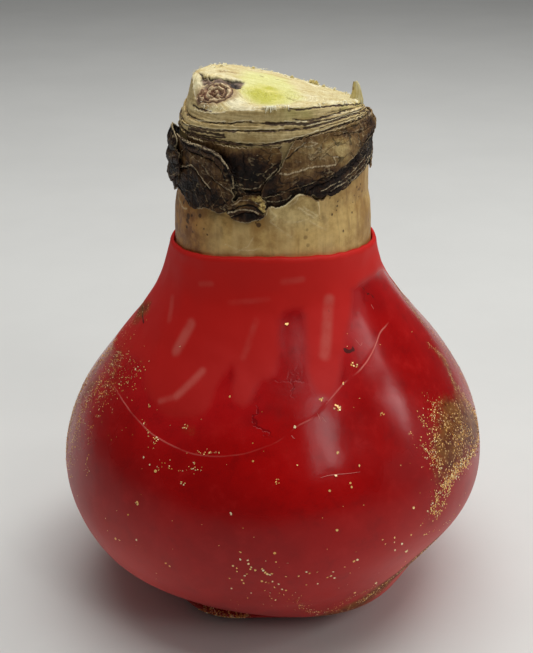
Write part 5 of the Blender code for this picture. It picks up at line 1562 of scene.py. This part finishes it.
backRightSkin = {
    "piece": "darkSkinBackRight",
    "nodes": ["dark_skin_back_right"],
    "span": (-20, 96),
    "lower": [
        (-20, 98.5), (-10, 97.6), (-4, 95), (6, 92.5), (24, 93.8), (40, 90.5), (58, 92.5), (76, 89),
        (96, 91.2),
    ],
    "upper": [(-20, 104.6), (0, 104.6), (24, 102.6), (45, 101.6), (70, 101.9), (96, 102)],
    "low": [(-10, 0), (-5, 1)],
    "curl": [(-5, 0), (24, 0.5), (40, 0), (58, 0.35), (76, 0), (90, 0)],
    "ragged": 0.55,
    "grid": (220, 46),
    "base": 0.3,
    "tone": [
        (10, 98, 12, 2.5, 0.5), (45, 96, 10, 2, 0.12), (75, 95, 14, 2.5, 0.45), (30, 101, 20, 0.8, 0.5),
    ],
    "dark": [
        (0.3, 0.9, [(-10, 100.2), (0, 99), (14, 97.6), (30, 97.2), (44, 95.4)]),
        (0.25, 0.9, [(50, 99.6), (60, 97.4), (74, 96.6), (90, 94)]),
    ],
    "light": [
        (0.16, 0.5, [(-10, 100.6), (0, 99.4), (14, 98), (30, 97.6), (44, 95.8)]),
        (0.15, 0.5, [(50, 100), (60, 97.8), (74, 97), (90, 94.4)]),
        (0.12, 0.39, [(4, 95.4), (16, 96), (26, 95)]), (0.12, 0.39, [(62, 94.4), (72, 92), (80, 91.6)]),
    ],
}
backLeftSkin = {
    "piece": "darkSkinBackLeft",
    "nodes": ["dark_skin_back_left"],
    "span": (86, 169),
    "lower": [(86, 93), (100, 90), (118, 91.5), (136, 89.5), (152, 91.2), (169, 90)],
    "upper": [(86, 100.8), (104, 102.2), (130, 101.6), (156, 102.2), (169, 101.6)],
    "low": [(86, 2), (100, 2), (106, 1)],
    "high": [(86, 1), (98, 1), (106, 0)],
    "curl": [(86, 0), (100, 0.5), (116, 0.2), (134, 0.45), (150, 0)],
    "ragged": 0.55,
    "grid": (170, 46),
    "base": 0.24,
    "violet": 0.3,
    "tone": [(110, 98.5, 12, 2.5, 0.5), (140, 94, 12, 2.5, 0.12), (155, 99.5, 8, 2, 0.42)],
    "dark": [
        (0.35, 1, [(92, 100.4), (104, 98.6), (116, 95.6), (126, 94.6)]),
        (0.25, 0.8, [(126, 100.4), (140, 98.4), (154, 98)]),
    ],
    "light": [
        (0.16, 0.5, [(92, 100.9), (104, 99.1), (116, 96.1), (126, 95.1)]),
        (0.14, 0.5, [(126, 100.8), (140, 98.8), (154, 98.4)]),
        (0.12, 0.39, [(104, 93.4), (112, 94), (120, 92.8)]),
    ],
}
darkSheets = [
    frontSkin, stripSkin, rightSkin, tongueSkin, leftSkin, shardHigh,
    shardMiddle, shardLow, flakes, backRightSkin, backLeftSkin,
]


def sheetRadius(spec, turn, up):  # in mm, before the relief
    low, high = (setting(spec.get(edge, 0), turn) for edge in ("low", "high"))
    curl, roll, bulge = (setting(spec.get(name, 0), turn) for name in ("curl", "roll", "bulge"))
    radius = darkSkins["radius"] + darkSkins["layer"] * (low + (high - low) * ease(0.25, 0.95, up))
    radius = radius + curl * (1 - up) ** 2 + bulge * np.sin(math.pi * up)
    return radius + roll * ease(0.84, 0.97, up) * (1 - 0.5 * ease(0.96, 1, up))


def sheetTone(spec, turn, level):  # from 0 for black to 1 for straw
    tone = np.full(turn.shape, spec["base"])
    for middle, at, wide, tall, value in spec["tone"]:
        tone = tone + (value - tone) * blob(turn, level, middle, at, wide, tall)
    return tone


def makeDarkSkin(spec, seed, finish):
    columns, rows = spec["grid"]
    across, up = np.meshgrid(np.linspace(0, 1, columns), np.linspace(0, 1, rows))
    side = 2 * across - 1
    torn = side**8 * (grainAt(up * 3.1, seed, side) + 0.4 * grainAt(up * 11, seed, side))
    start, end = (setting(edge, up) for edge in spec["span"])
    turn = start + (end - start) * across - side * 2.2 * np.abs(torn)
    lower = along(spec["lower"], turn) + spec["ragged"] * grainAt(turn * 0.31, seed, 0.4)
    lower = lower + 0.22 * grainAt(turn * 1.5, seed, 0, 3)
    upper = along(spec["upper"], turn) + 0.35 * grainAt(turn * 0.6, seed + 3, 0, 3)
    level = lower + (upper - lower) * up
    light, dark = (lineMarks(turn, level * mm, spec[name], darkSkins["radius"]) for name in ("light", "dark"))
    spots = np.stack([turn * 0.3, level, np.full(turn.shape, seed)], axis=-1)
    crumple, fine = grain(spots, 0.45, 2), grain(spots, 1.9, 4)
    veins = grainAt(turn * 0.9, level * 0.1, seed, 2)
    radius = sheetRadius(spec, turn, up) + 0.18 * crumple + 0.09 * fine + 0.03 * veins
    radius = radius + 0.15 * light - 0.18 * dark
    gilt = np.maximum.reduce([0 * turn] + [blob(turn, level, *oval) for oval in spec.get("gold", [])])
    ends = np.minimum(across, 1 - across) * (end - start) * darkSkins["pitch"]
    marks = {
        "light": light, "dark": dark, "gilt": gilt,
        "tone": sheetTone(spec, turn, level) + 0.1 * crumple + 0.06 * fine,
        "edge": np.minimum(np.minimum(level - lower, upper - level), ends),
        "violet": np.full(turn.shape, spec.get("violet", darkSkins["violet"])),
    }
    grid = settle(onCircle(radius * mm, turn, level * mm))
    piece = makeMesh(spec["piece"], grid, gridFaces(rows, columns, False), marks)
    thicken(piece, darkSkins["thickness"])
    return dress(piece, finish, "dark_skin", *spec.get("nodes", []))


def makeDarkSkins(finish):
    for number, spec in enumerate(darkSheets):
        makeDarkSkin(spec, darkSkins["seed"] + number, finish)


# Shreds and fibres that the knife left standing on the cut

shreds = {
    "sliver": {  # a single standing piece
        "base": (16.2, -3.1),
        "reach": (-0.1, 0.25),
        "width": 2.8,
        "tall": 3.5,
        "grid": (16, 34),
        "swing": 158,
        "root": 1.2,
        "thickness": 0.4,
    },
    "tufts": [  # angle, radius, width, height, outward curl and how many blades
        (55, 15.9, 2, 1.15, 0.1, 3), (47, 16, 1.6, 0.8, 0.1, 2), (36, 16, 2, 0.6, 0.1, 2),
        (79, 15.8, 2, 0.55, 0.3, 2), (131, 15.4, 2.2, 0.8, 0.3, 3), (149, 14.8, 1.6, 0.6, 0.2, 2),
        (104, 16, 2.4, 0.5, 0.2, 2), (18, 16, 1.4, 0.5, 0.3, 1),
    ],
    "bladeRows": 5,
    "bladeRoot": 0.45,
    "bladeThickness": 0.14,
    "fibres": [  # angle, spread in degrees, how many and length
        (-91, 4, 34, 1.15), (-97, 6, 10, 0.8), (-84, 6, 10, 0.8), (-140, 30, 12, 0.6), (-50, 60, 30, 0.6),
        (60, 60, 20, 0.8), (130, 60, 24, 0.9),
    ],
    "fibreRows": 6,
    "fibreThickness": 0.05,
}


def makeSliver(finish):
    spec = shreds["sliver"]
    columns, rows = spec["grid"]
    across, up = np.meshgrid(np.linspace(-0.5, 0.5, columns), np.linspace(0, 1, rows))
    ragged = grainAt(across * 3, up * 4, 2, 2)
    width = spec["width"] * (1 - 0.82 * up**1.7) * (1 + 0.08 * np.sin(9 * up))
    swing = spec["swing"] * degree
    baseX, baseY = spec["base"]
    bend = spec["reach"][0] * up**2 + spec["reach"][1] * np.sin(up * math.pi)
    x = baseX + math.cos(swing) * across * width + bend
    y = baseY + math.sin(swing) * across * width + 0.35 * (across * 2) ** 2 + 0.3 * up + 0.06 * ragged
    z = float(cutHeight(baseX, baseY)) - spec["root"]
    z = z + (spec["tall"] + spec["root"]) * up * (1 - 0.1 * np.abs(across)) + 0.14 * ragged * up**3
    marks = {
        "tip": ease(0.3, 1, up + 0.3 * ragged) * ease(-0.1, 0.4, across) * 1.6,
        "streak": -0.25 + 0.7 * grainAt(across * 9, up * 1.4, 0, 2),
    }
    grid = settle(np.stack([x, y, z], axis=-1) * mm)
    piece = makeMesh("standingSliver", grid, gridFaces(*up.shape, False), marks)
    thicken(piece, spec["thickness"])
    return dress(piece, finish, "bulb_flesh")


def makeTufts(finish):  # each tuft is a few bent blades, three points wide
    dice = np.random.default_rng(21)
    points, faces, tips, streaks = [], [], [], []
    rows, root = shreds["bladeRows"], shreds["bladeRoot"]
    for middle, radius, width, tall, curl, count in shreds["tufts"]:
        for _ in range(count):
            turn = middle + dice.uniform(-0.5, 0.5) * width / (radius * degree)
            base = onCircle(radius - dice.uniform(0, 0.7), turn, 0)
            high = tall * dice.uniform(0.45, 1.05)
            wide = dice.uniform(0.9, 2)
            lean = dice.normal(0, 0.3, 2)
            low = float(cutHeight(base[0], base[1])) - root
            faces += gridFaces(rows, 3, False, len(points))
            for up in np.linspace(0, 1, rows):
                for across in (-0.5, 0, 0.5):
                    half = across * wide * (1 - 0.7 * up**2.2) * dice.uniform(0.8, 1.1)
                    ahead = onCircle(half, turn + 90 + dice.normal(0, 4), 0)
                    outwards = curl * up * up + 0.12 * (1 - abs(2 * across))
                    over = onCircle(outwards, turn, low + (high + root - 0.1 * abs(across)) * up)
                    points.append(base + ahead + over + (lean[0] * up, lean[1] * up, 0))
                    tips.append(up * dice.uniform(0.2, 1))
                    streaks.append(dice.uniform(-0.5, 0.5))
    piece = makeMesh("cutTufts", settle(np.array(points) * mm), faces, {"tip": tips, "streak": streaks})
    thicken(piece, shreds["bladeThickness"])
    piece.modifiers.new("smooth", "SUBSURF").levels = 1
    applyModifiers(piece)
    return dress(piece, finish, "bulb_flesh")


def makeFibres(finish):  # white fibres that hang over the front of the cut, and hairs along its edges
    dice = np.random.default_rng(5)
    points, faces = [], []
    rows = shreds["fibreRows"]
    for middle, spread, count, size in shreds["fibres"]:
        for _ in range(count):
            turn = middle + dice.normal(0, 0.4) * spread
            reach = size * dice.uniform(0.4, 1)
            edge = edgeRadius(turn)
            start = onCircle(edge - dice.uniform(0.1, 0.8), turn, 0)
            top = float(cutHeight(start[0], start[1])) + 0.05
            bearing = turn + dice.normal(0, 35)
            wide = dice.uniform(0.05, 0.11)
            faces += gridFaces(rows, 2, False, len(points))
            for up in np.linspace(0, 1, rows):
                spot = start + onCircle(reach * up, bearing, 0)
                over = max(0, math.hypot(spot[0], spot[1]) - edge)
                rise = dice.uniform(0, 0.06) + 0.1 * math.sin(up * math.pi) * size - 1.6 * over
                half = onCircle(wide * (1 - 0.6 * up), bearing + 90, 0)
                points += [spot - half + (0, 0, top + rise), spot + half + (0, 0, top + rise)]
    marks = {"tip": np.zeros(len(points)), "streak": np.full(len(points), 1.2)}
    piece = makeMesh("cutFibres", settle(np.array(points) * mm), faces, marks)
    thicken(piece, shreds["fibreThickness"])
    return dress(piece, finish, "bulb_flesh")


# Fine scratches in the wax, as thin pale threads on its surface

scratches = {
    "width": 0.1,
    "lift": 0.05,
    "steps": 8,  # for each point of a line
    "lines": [
        [(-78.4, 44.5), (-76.5, 44.7), (-74.1, 44.7), (-70.5, 44.5), (-67.4, 44.4)],
        [(-53.7, 64.1), (-52.9, 63.5), (-52.3, 62.9)], [(-52.3, 62.9), (-51.4, 63), (-50.8, 63.3)],
        [(-76.6, 54.3), (-76.2, 53.6), (-75.9, 52.9)], [(-75.3, 53.7), (-74.8, 53.2), (-74.3, 52.8)],
        [(-85.5, 51.3), (-84.9, 50.9), (-84.3, 50.7)], [(-36.1, 68.5), (-35.8, 68), (-35.5, 67.5)],
        [(20, 44), (27, 45.5), (36, 45)], [(118, 40), (126, 38.5), (132, 39)],
    ],
}


def makeScratches(finish):
    points, faces = [], []
    for line in scratches["lines"]:
        steps = np.linspace(0, 1, scratches["steps"] * len(line))
        turn, level = (np.interp(steps, np.linspace(0, 1, len(line)), part) for part in zip(*line))
        spot, outward = waxSurface(turn, level * mm)
        side = unit(np.cross(outward, np.gradient(spot, axis=0)))
        width = scratches["width"] * mm * np.sin(np.clip(steps, 0.03, 0.97) * math.pi) ** 0.5
        half = side * width[:, None] / 2
        ridge = spot + outward * scratches["lift"] * mm
        faces += gridFaces(len(steps), 3, False, len(points))
        points += list(np.stack([spot - half, ridge, spot + half], axis=1).reshape(-1, 3))
    piece = makeMesh("waxScratches", np.array(points), faces)
    return dress(piece, finish, "red_wax")


def scratchFinish():
    finish, start = newFinish("waxScratch")
    colour = start.cloud(900).blend(tint(190, 70, 62), tint(226, 150, 138))
    return pour(finish, start, colour, {"Roughness": 0.45})


def cutColour(start, fibres, blotch, ragged, cut):  # the cut, and the share of its green core
    wander = (start.cloud(260, 4) - 0.5) * 3.4
    halo = (start.mark("halo") + wander).rise(-1.6, 2.2)
    core = (start.mark("core") + wander * 0.8).rise(-1.2, 2.4)
    # darker brown round the scar
    aroundScar = (start.mark("scar") * 3 + wander * 0.35).rise(-1.3, 0.2)
    shade = (start.mark("crevice") + wander * 0.34).rise(-0.3, 0.5)
    purple = start.streaks((240, 700, 700), 3, 0.5).ramp(
        (0.36, tint(26, 14, 11)), (0.48, tint(74, 48, 40)), (0.57, tint(126, 96, 82)),
        (0.64, tint(210, 186, 142)),
    )
    stain = (start.mark("smear") + (ragged - 0.5) * 1.2).rise(0.2, 0.9)
    # painted shade in the slits and hollows of the cut
    slit = (start.mark("gash") + (blotch - 0.5) * 0.4).rise(0.15, 0.6)
    flecks = start.dots(330, 0.1, 0.2) * start.cloud(70).rise(0.52, 0.62)
    # a pale line along the cut's edge: painted highlight on the edge, with white fibres
    rim = (cut * (1 - cut) * 4).rise(0.1, 0.8) * ragged.rise(0.4, 0.6)
    cream = (fibres * 0.55 + ragged * 0.45).rise(0.36, 0.62).blend(tint(196, 172, 112), tint(232, 221, 172))
    return cream.paint(
        (blotch.rise(0.5, 0.7) * 0.6, tint(244, 237, 202)),
        (ragged.rise(0.54, 0.72) * 0.45, tint(172, 142, 82)),
        (halo * 0.8, fibres.rise(0.3, 0.7).blend(tint(205, 204, 118), tint(233, 232, 160))),
        (core * 0.9, blotch.rise(0.35, 0.65).blend(tint(190, 186, 66), tint(224, 214, 118))),
        (aroundScar * 0.62, tint(150, 112, 74)),
        (shade * 0.92, purple),
        (stain * 0.75, tint(150, 108, 62)),
        (slit * 0.92, tint(34, 18, 12)),
        (flecks * 0.6, tint(120, 84, 50)),
        (rim * 0.75, tint(250, 243, 220)),
    ), core


def sideColour(start, layers, strands, blotch):  # the scale rims round the neck
    level, sandy = start.mark("level"), start.cloud(800, 3, 0.7)
    shadow = (104.3 - level).rise(0, 1.6)
    fresh = start.axis(0).rise(-0.004, 0.009) * (level - 106).rise(0, 0.8) * start.cloud(120).rise(0.3, 0.6)
    # painted shade: dark lines in the crevices under the rims
    shadeLines = (start.mark("ink") + (sandy - 0.5) * 0.16).rise(0.15, 0.65)
    # painted highlight: pale lines on the rims' edges
    glint = (start.mark("glint") + (strands - 0.5) * 0.5).rise(0.2, 0.8)
    dots = start.dots(420, 0.08, 0.17) * start.cloud(90).rise(0.5, 0.6)
    olive = (layers * 0.5 + sandy * 0.5).rise(0.36, 0.64).blend(tint(172, 145, 92), tint(228, 205, 148))
    return olive.paint(
        (strands.rise(0.45, 0.75) * 0.4, tint(234, 216, 166)),
        (blotch.rise(0.45, 0.7) * 0.35, tint(152, 128, 76)),
        (shadow * 0.35, layers.blend(tint(132, 104, 62), tint(186, 160, 106))),
        (fresh * 0.75, tint(172, 168, 92)),
        (shadeLines * 0.93, strands.rise(0.35, 0.65).blend(tint(34, 17, 12), tint(78, 50, 38))),
        (glint * 0.85, tint(238, 224, 182)),
        (dots * 0.75, tint(62, 44, 30)),
    )


def fleshFinish():
    finish, start = newFinish("bulbFlesh")
    cut, blotch = start.mark("cut"), start.cloud(190, 3)
    rings = start.node("CombineXYZ", sockets={0: start.mark("ring") * 1.7, 1: start.mark("bearing") * 0.02})
    fibres = start.cloud(1.6, 5, 0.6, rings)
    ragged = start.streaks((170, 620, 400), 4, 0.65)
    strands, layers = start.streaks((1100, 1100, 190)), start.streaks((130, 130, 1500))
    cream, core = cutColour(start, fibres, blotch, ragged, cut)
    colour = cut.rise(0.2, 0.9).blend(sideColour(start, layers, strands, blotch), cream)
    relief = fibres * cut * 0.8 + (1 - cut) * (layers * 0.5 + strands * 0.35)
    relief = relief + start.cloud(900) * 0.25 + blotch * 0.3
    return pour(finish, start, colour, {
        "Roughness": 0.62 - cut * 0.14 - core * 0.12, "Normal": relief.bump(0.24, 0.85),
        "Specular IOR Level": 0.3,
    })


def scarFinish():
    finish, start = newFinish("witheredScar")
    spiral, folds, grainy = start.mark("spiral"), start.mark("folds"), start.cloud(700, 4)
    # painted highlight and shade: the folds are lighter on their crests and darker in their grooves
    tone = (spiral * 0.5 + folds * 0.8 + (grainy - 0.5)).rise(-0.7, 0.7)
    crests = (spiral * 0.5 + folds + grainy - 0.5).rise(0.1, 0.6)
    edge = (start.mark("share") + (grainy - 0.5) * 0.3).rise(0.86, 1.05)
    colour = tone.blend(tint(78, 45, 32), tint(206, 168, 126)).paint(
        (start.cloud(350).rise(0.5, 0.7) * 0.35, tint(140, 80, 56)),
        (crests * 0.85, tint(228, 206, 164)),
        (edge * 0.55, tint(176, 150, 98)),
    )
    relief = grainy * 0.6 + spiral * 0.4
    return pour(finish, start, colour, {"Roughness": 0.75, "Normal": relief.bump(0.25, 0.9)})


def shredFinish():
    finish, start = newFinish("knifeShred")
    streak = (start.mark("streak") + start.cloud(500) - 0.5).rise(-0.5, 0.6)
    colour = streak.blend(tint(212, 196, 132), tint(252, 247, 214))
    brown = (start.mark("tip") * start.cloud(420, 3) * 2).rise(0.75, 1.15)
    colour = (brown * 0.7).blend(colour, tint(120, 86, 48))
    return pour(finish, start, colour, {"Roughness": 0.5, "Normal": streak.bump(0.12, 0.8)})


def paleFinish():
    finish, start = newFinish("paleSkin")
    strands, broad = start.streaks((700, 700, 60)), start.streaks((260, 260, 34), 3, 0.5)
    patches, paper = start.cloud(95, 4, 0.55), start.cloud(420, 5, 0.65)
    flap, edge, pales = start.mark("flap"), start.mark("edge"), start.mark("pale")
    crisp = paper.rise(0.38, 0.62)
    left = (start.mark("left") + (patches - 0.5) * 0.7).rise(0.1, 0.9)
    # darker brown patches just below the torn top
    topPatches = start.cloud(240, 5, 0.65).rise(0.5, 0.66) * (1 - (edge - 1).rise(0, 7))
    right = start.mark("right") * (1 - flap) * (strands.rise(0.35, 0.7) * 0.5 + patches.rise(0.4, 0.7) * 0.3)
    # painted shadow along the dark skins' lower edges and beside the flap's right edge, and dark streaks in
    # the skin
    dark = start.mark("dark") * (0.2 + 0.5 * start.cloud(300).rise(0.35, 0.65))
    ragged = (start.mark("spots") + (start.cloud(700, 4) - 0.5) * 1.1).rise(0.28, 0.62)
    flecks = start.dots(300, 0.08, 0.16) * start.cloud(60).rise(0.5, 0.62)
    rim = 1 - (edge + (start.cloud(600) - 0.5) * 0.2).rise(0.1, 0.26)
    rimTone = start.cloud(150).rise(0.36, 0.5).blend(tint(110, 80, 44), tint(236, 218, 170))
    straw = (patches * 0.6 + paper * 0.4).rise(0.36, 0.64).blend(tint(168, 128, 68), tint(224, 190, 120))
    colour = straw.paint(
        (broad.rise(0.48, 0.7) * 0.5, tint(232, 204, 142)),
        (strands.rise(0.5, 0.75) * 0.4, tint(144, 100, 46)),
        (flap * 0.6, crisp.blend(tint(166, 142, 88), tint(218, 197, 138))),
        (left * 0.85, crisp.blend(tint(124, 70, 26), tint(176, 118, 52))),
        (topPatches * start.cloud(42).rise(0.38, 0.6) * 0.6, tint(92, 72, 40)),
        (right, tint(160, 112, 52)),
        (dark, tint(104, 74, 40)),
        (ragged * 0.88, tint(66, 38, 14)),
        (flecks * 0.6, tint(98, 66, 34)),
        (pales * 0.75, tint(240, 224, 178)),
        (rim * 0.85, rimTone),
    )
    relief = strands * 0.35 + paper * 0.8 + pales * 0.3 + start.cloud(1300) * 0.2
    return pour(finish, start, colour, {
        "Roughness": 0.44 + paper * 0.2, "Normal": relief.bump(0.2, 0.8), "Specular IOR Level": 0.3,
    })


def darkTones(start, value):  # brown, and violet in patches
    brown = value.ramp(
        (0, tint(14, 7, 3)), (0.14, tint(34, 19, 10)), (0.3, tint(72, 47, 24)), (0.5, tint(112, 82, 44)),
        (0.72, tint(148, 120, 70)), (0.95, tint(190, 166, 110)),
    )
    plum = value.ramp(
        (0, tint(16, 9, 7)), (0.3, tint(48, 32, 26)), (0.6, tint(110, 86, 70)), (1, tint(176, 156, 138)),
    )
    violet = start.mark("violet") * start.cloud(200, 3).rise(0.3, 0.7)
    return (violet * 0.6).blend(brown, plum)


def darkFinish():
    finish, start = newFinish("darkSkin")
    veins = start.streaks((1000, 1000, 80))
    mottle, fine = start.cloud(360, 5, 0.65), start.cloud(1500, 4, 0.65)
    light, dark = start.mark("light"), start.mark("dark")
    value = start.mark("tone") + (veins - 0.5) * 0.5 + (mottle - 0.5) * 0.5 + (fine - 0.5) * 0.4
    gilt = (start.mark("gilt") + (mottle - 0.5) * 1.3).rise(0.25, 0.8)
    gold = (fine * 0.6 + mottle * 0.4).rise(0.38, 0.62).blend(tint(112, 74, 26), tint(226, 198, 122))
    # painted shade under the sheets' edges, along the dark lines
    shadeLines = (dark + (mottle - 0.5) * 0.4).rise(0.12, 0.6)
    crackle = 1 - start.cells(1, "DISTANCE_TO_EDGE", (330, 330, 230)).rise(0, 0.035)
    crackle = crackle * start.cloud(110).rise(0.46, 0.6) * fine.rise(0.4, 0.6)
    threads = start.streaks((210, 210, 420), 2, 0.5).ridge(0.05, 0.5)
    threads = threads * start.cloud(150).rise(0.46, 0.6) * fine.rise(0.42, 0.56)
    # painted shade: near-black lines in the folds
    folds = start.streaks((300, 300, 520), 2, 0.5).ridge(0.1, 1.4) * start.cloud(120).rise(0.44, 0.6)
    # painted highlights along the light lines
    lit = (light + (fine - 0.5) * 0.6).rise(0.22, 0.95)
    rim = 1 - (start.mark("edge") + (mottle - 0.5) * 0.4).rise(0, 0.2)
    colour = darkTones(start, value).paint(
        (gilt * 0.9, gold),
        (shadeLines * 0.92, tint(14, 8, 6)),
        (crackle * 0.6, tint(170, 146, 106)),
        (threads * 0.6, tint(186, 164, 124)),
        (folds * 0.7, tint(16, 10, 8)),
        (lit * 0.86, tint(214, 194, 156)),
        (rim * start.cloud(170).rise(0.42, 0.6) * 0.75, tint(196, 176, 136)),
    )
    relief = veins * 0.5 + mottle * 0.9 + fine * 0.3 + light * 0.4 - dark * 0.5 - folds * 0.6 + threads * 0.3
    return pour(finish, start, colour, {
        "Roughness": 0.4 + mottle * 0.24, "Normal": relief.bump(0.38, 1), "Specular IOR Level": 0.2,
    })


makeWaxCoat(waxFinish())
makeGoldFlakes(goldFinish())
makeScratches(scratchFinish())
fleshLook = fleshFinish()
makeNeckFlesh(fleshLook)
makeGreenShoot(fleshLook)
makeFlowerScar(scarFinish())
shredLook = shredFinish()
makeSliver(shredLook)
makeTufts(shredLook)
makeFibres(shredLook)
makePaleSleeve(paleFinish())
makeDarkSkins(darkFinish())


# Floor, lights and camera, in metres

studio = {
    "floor": (0.7, 0.7, 0.67),
    "floorSize": 8,
    "world": (0.1, 0.1, 0.102),
    "camera": (-0.001, -0.242, 0.163),
    "pitch": 66.5,
    "lens": 67.9,
    "sensor": 36,
    "lampTarget": (0, 0, 0.05),
    "lamps": [  # bearing and elevation from the bulb, distance, width, height and brightness
        (60, 82, 0.64, 0.7, 0.62, 3.2), (36, 56, 0.7, 0.26, 0.26, 3.2), (-63, 40, 0.8, 0.045, 0.26, 4.5),
        (-52, 42, 0.8, 0.085, 0.27, 7.5), (-4, 30, 0.7, 0.09, 0.14, 9), (-10, 12, 0.8, 0.6, 0.3, 0.5),
    ],
}


def floorFinish():
    finish, start = newFinish("paleFloor")
    base = studio["floor"]
    colour = start.cloud(14, 6, 0.6).rise(0.3, 0.7).blend(tuple(share * 0.96 for share in base), base)
    return pour(finish, start, colour, {"Roughness": 0.7})


def makeLamp(number, bearing, elevation, distance, width, height, glow):
    lamp = bpy.data.lights.new(f"softbox{number}", "AREA")
    lamp.shape = "RECTANGLE"
    lamp.size, lamp.size_y = width, height
    lamp.energy = glow * math.pi * width * height
    high = math.radians(elevation)
    away = Vector(onCircle(distance * math.cos(high), bearing, distance * math.sin(high)).tolist())
    holder = bpy.data.objects.new(lamp.name, lamp)
    holder.location = away + Vector(studio["lampTarget"])
    holder.rotation_euler = (-away).to_track_quat("-Z", "Y").to_euler()
    bpy.context.scene.collection.objects.link(holder)


def makeStudio():
    bpy.ops.mesh.primitive_plane_add(size=studio["floorSize"], location=(0, 0, 0))
    floor = bpy.context.active_object
    floor.name = "floor"
    floor.data.materials.append(floorFinish())
    world = bpy.data.worlds.new("room")
    bpy.context.scene.world = world
    world.use_nodes = True
    world.node_tree.nodes["Background"].inputs["Color"].default_value = (*studio["world"], 1)
    for number, lamp in enumerate(studio["lamps"]):
        makeLamp(number, *lamp)
    camera = bpy.data.objects.new("camera", bpy.data.cameras.new("camera"))
    camera.location = studio["camera"]
    camera.rotation_euler = (math.radians(studio["pitch"]), 0, 0)
    camera.data.lens = studio["lens"]
    camera.data.sensor_width = studio["sensor"]
    bpy.context.scene.collection.objects.link(camera)
    bpy.context.scene.camera = camera
    bpy.context.scene.view_settings.view_transform = "Standard"
    print("studio", len(studio["lamps"]), "lamps")


makeStudio()
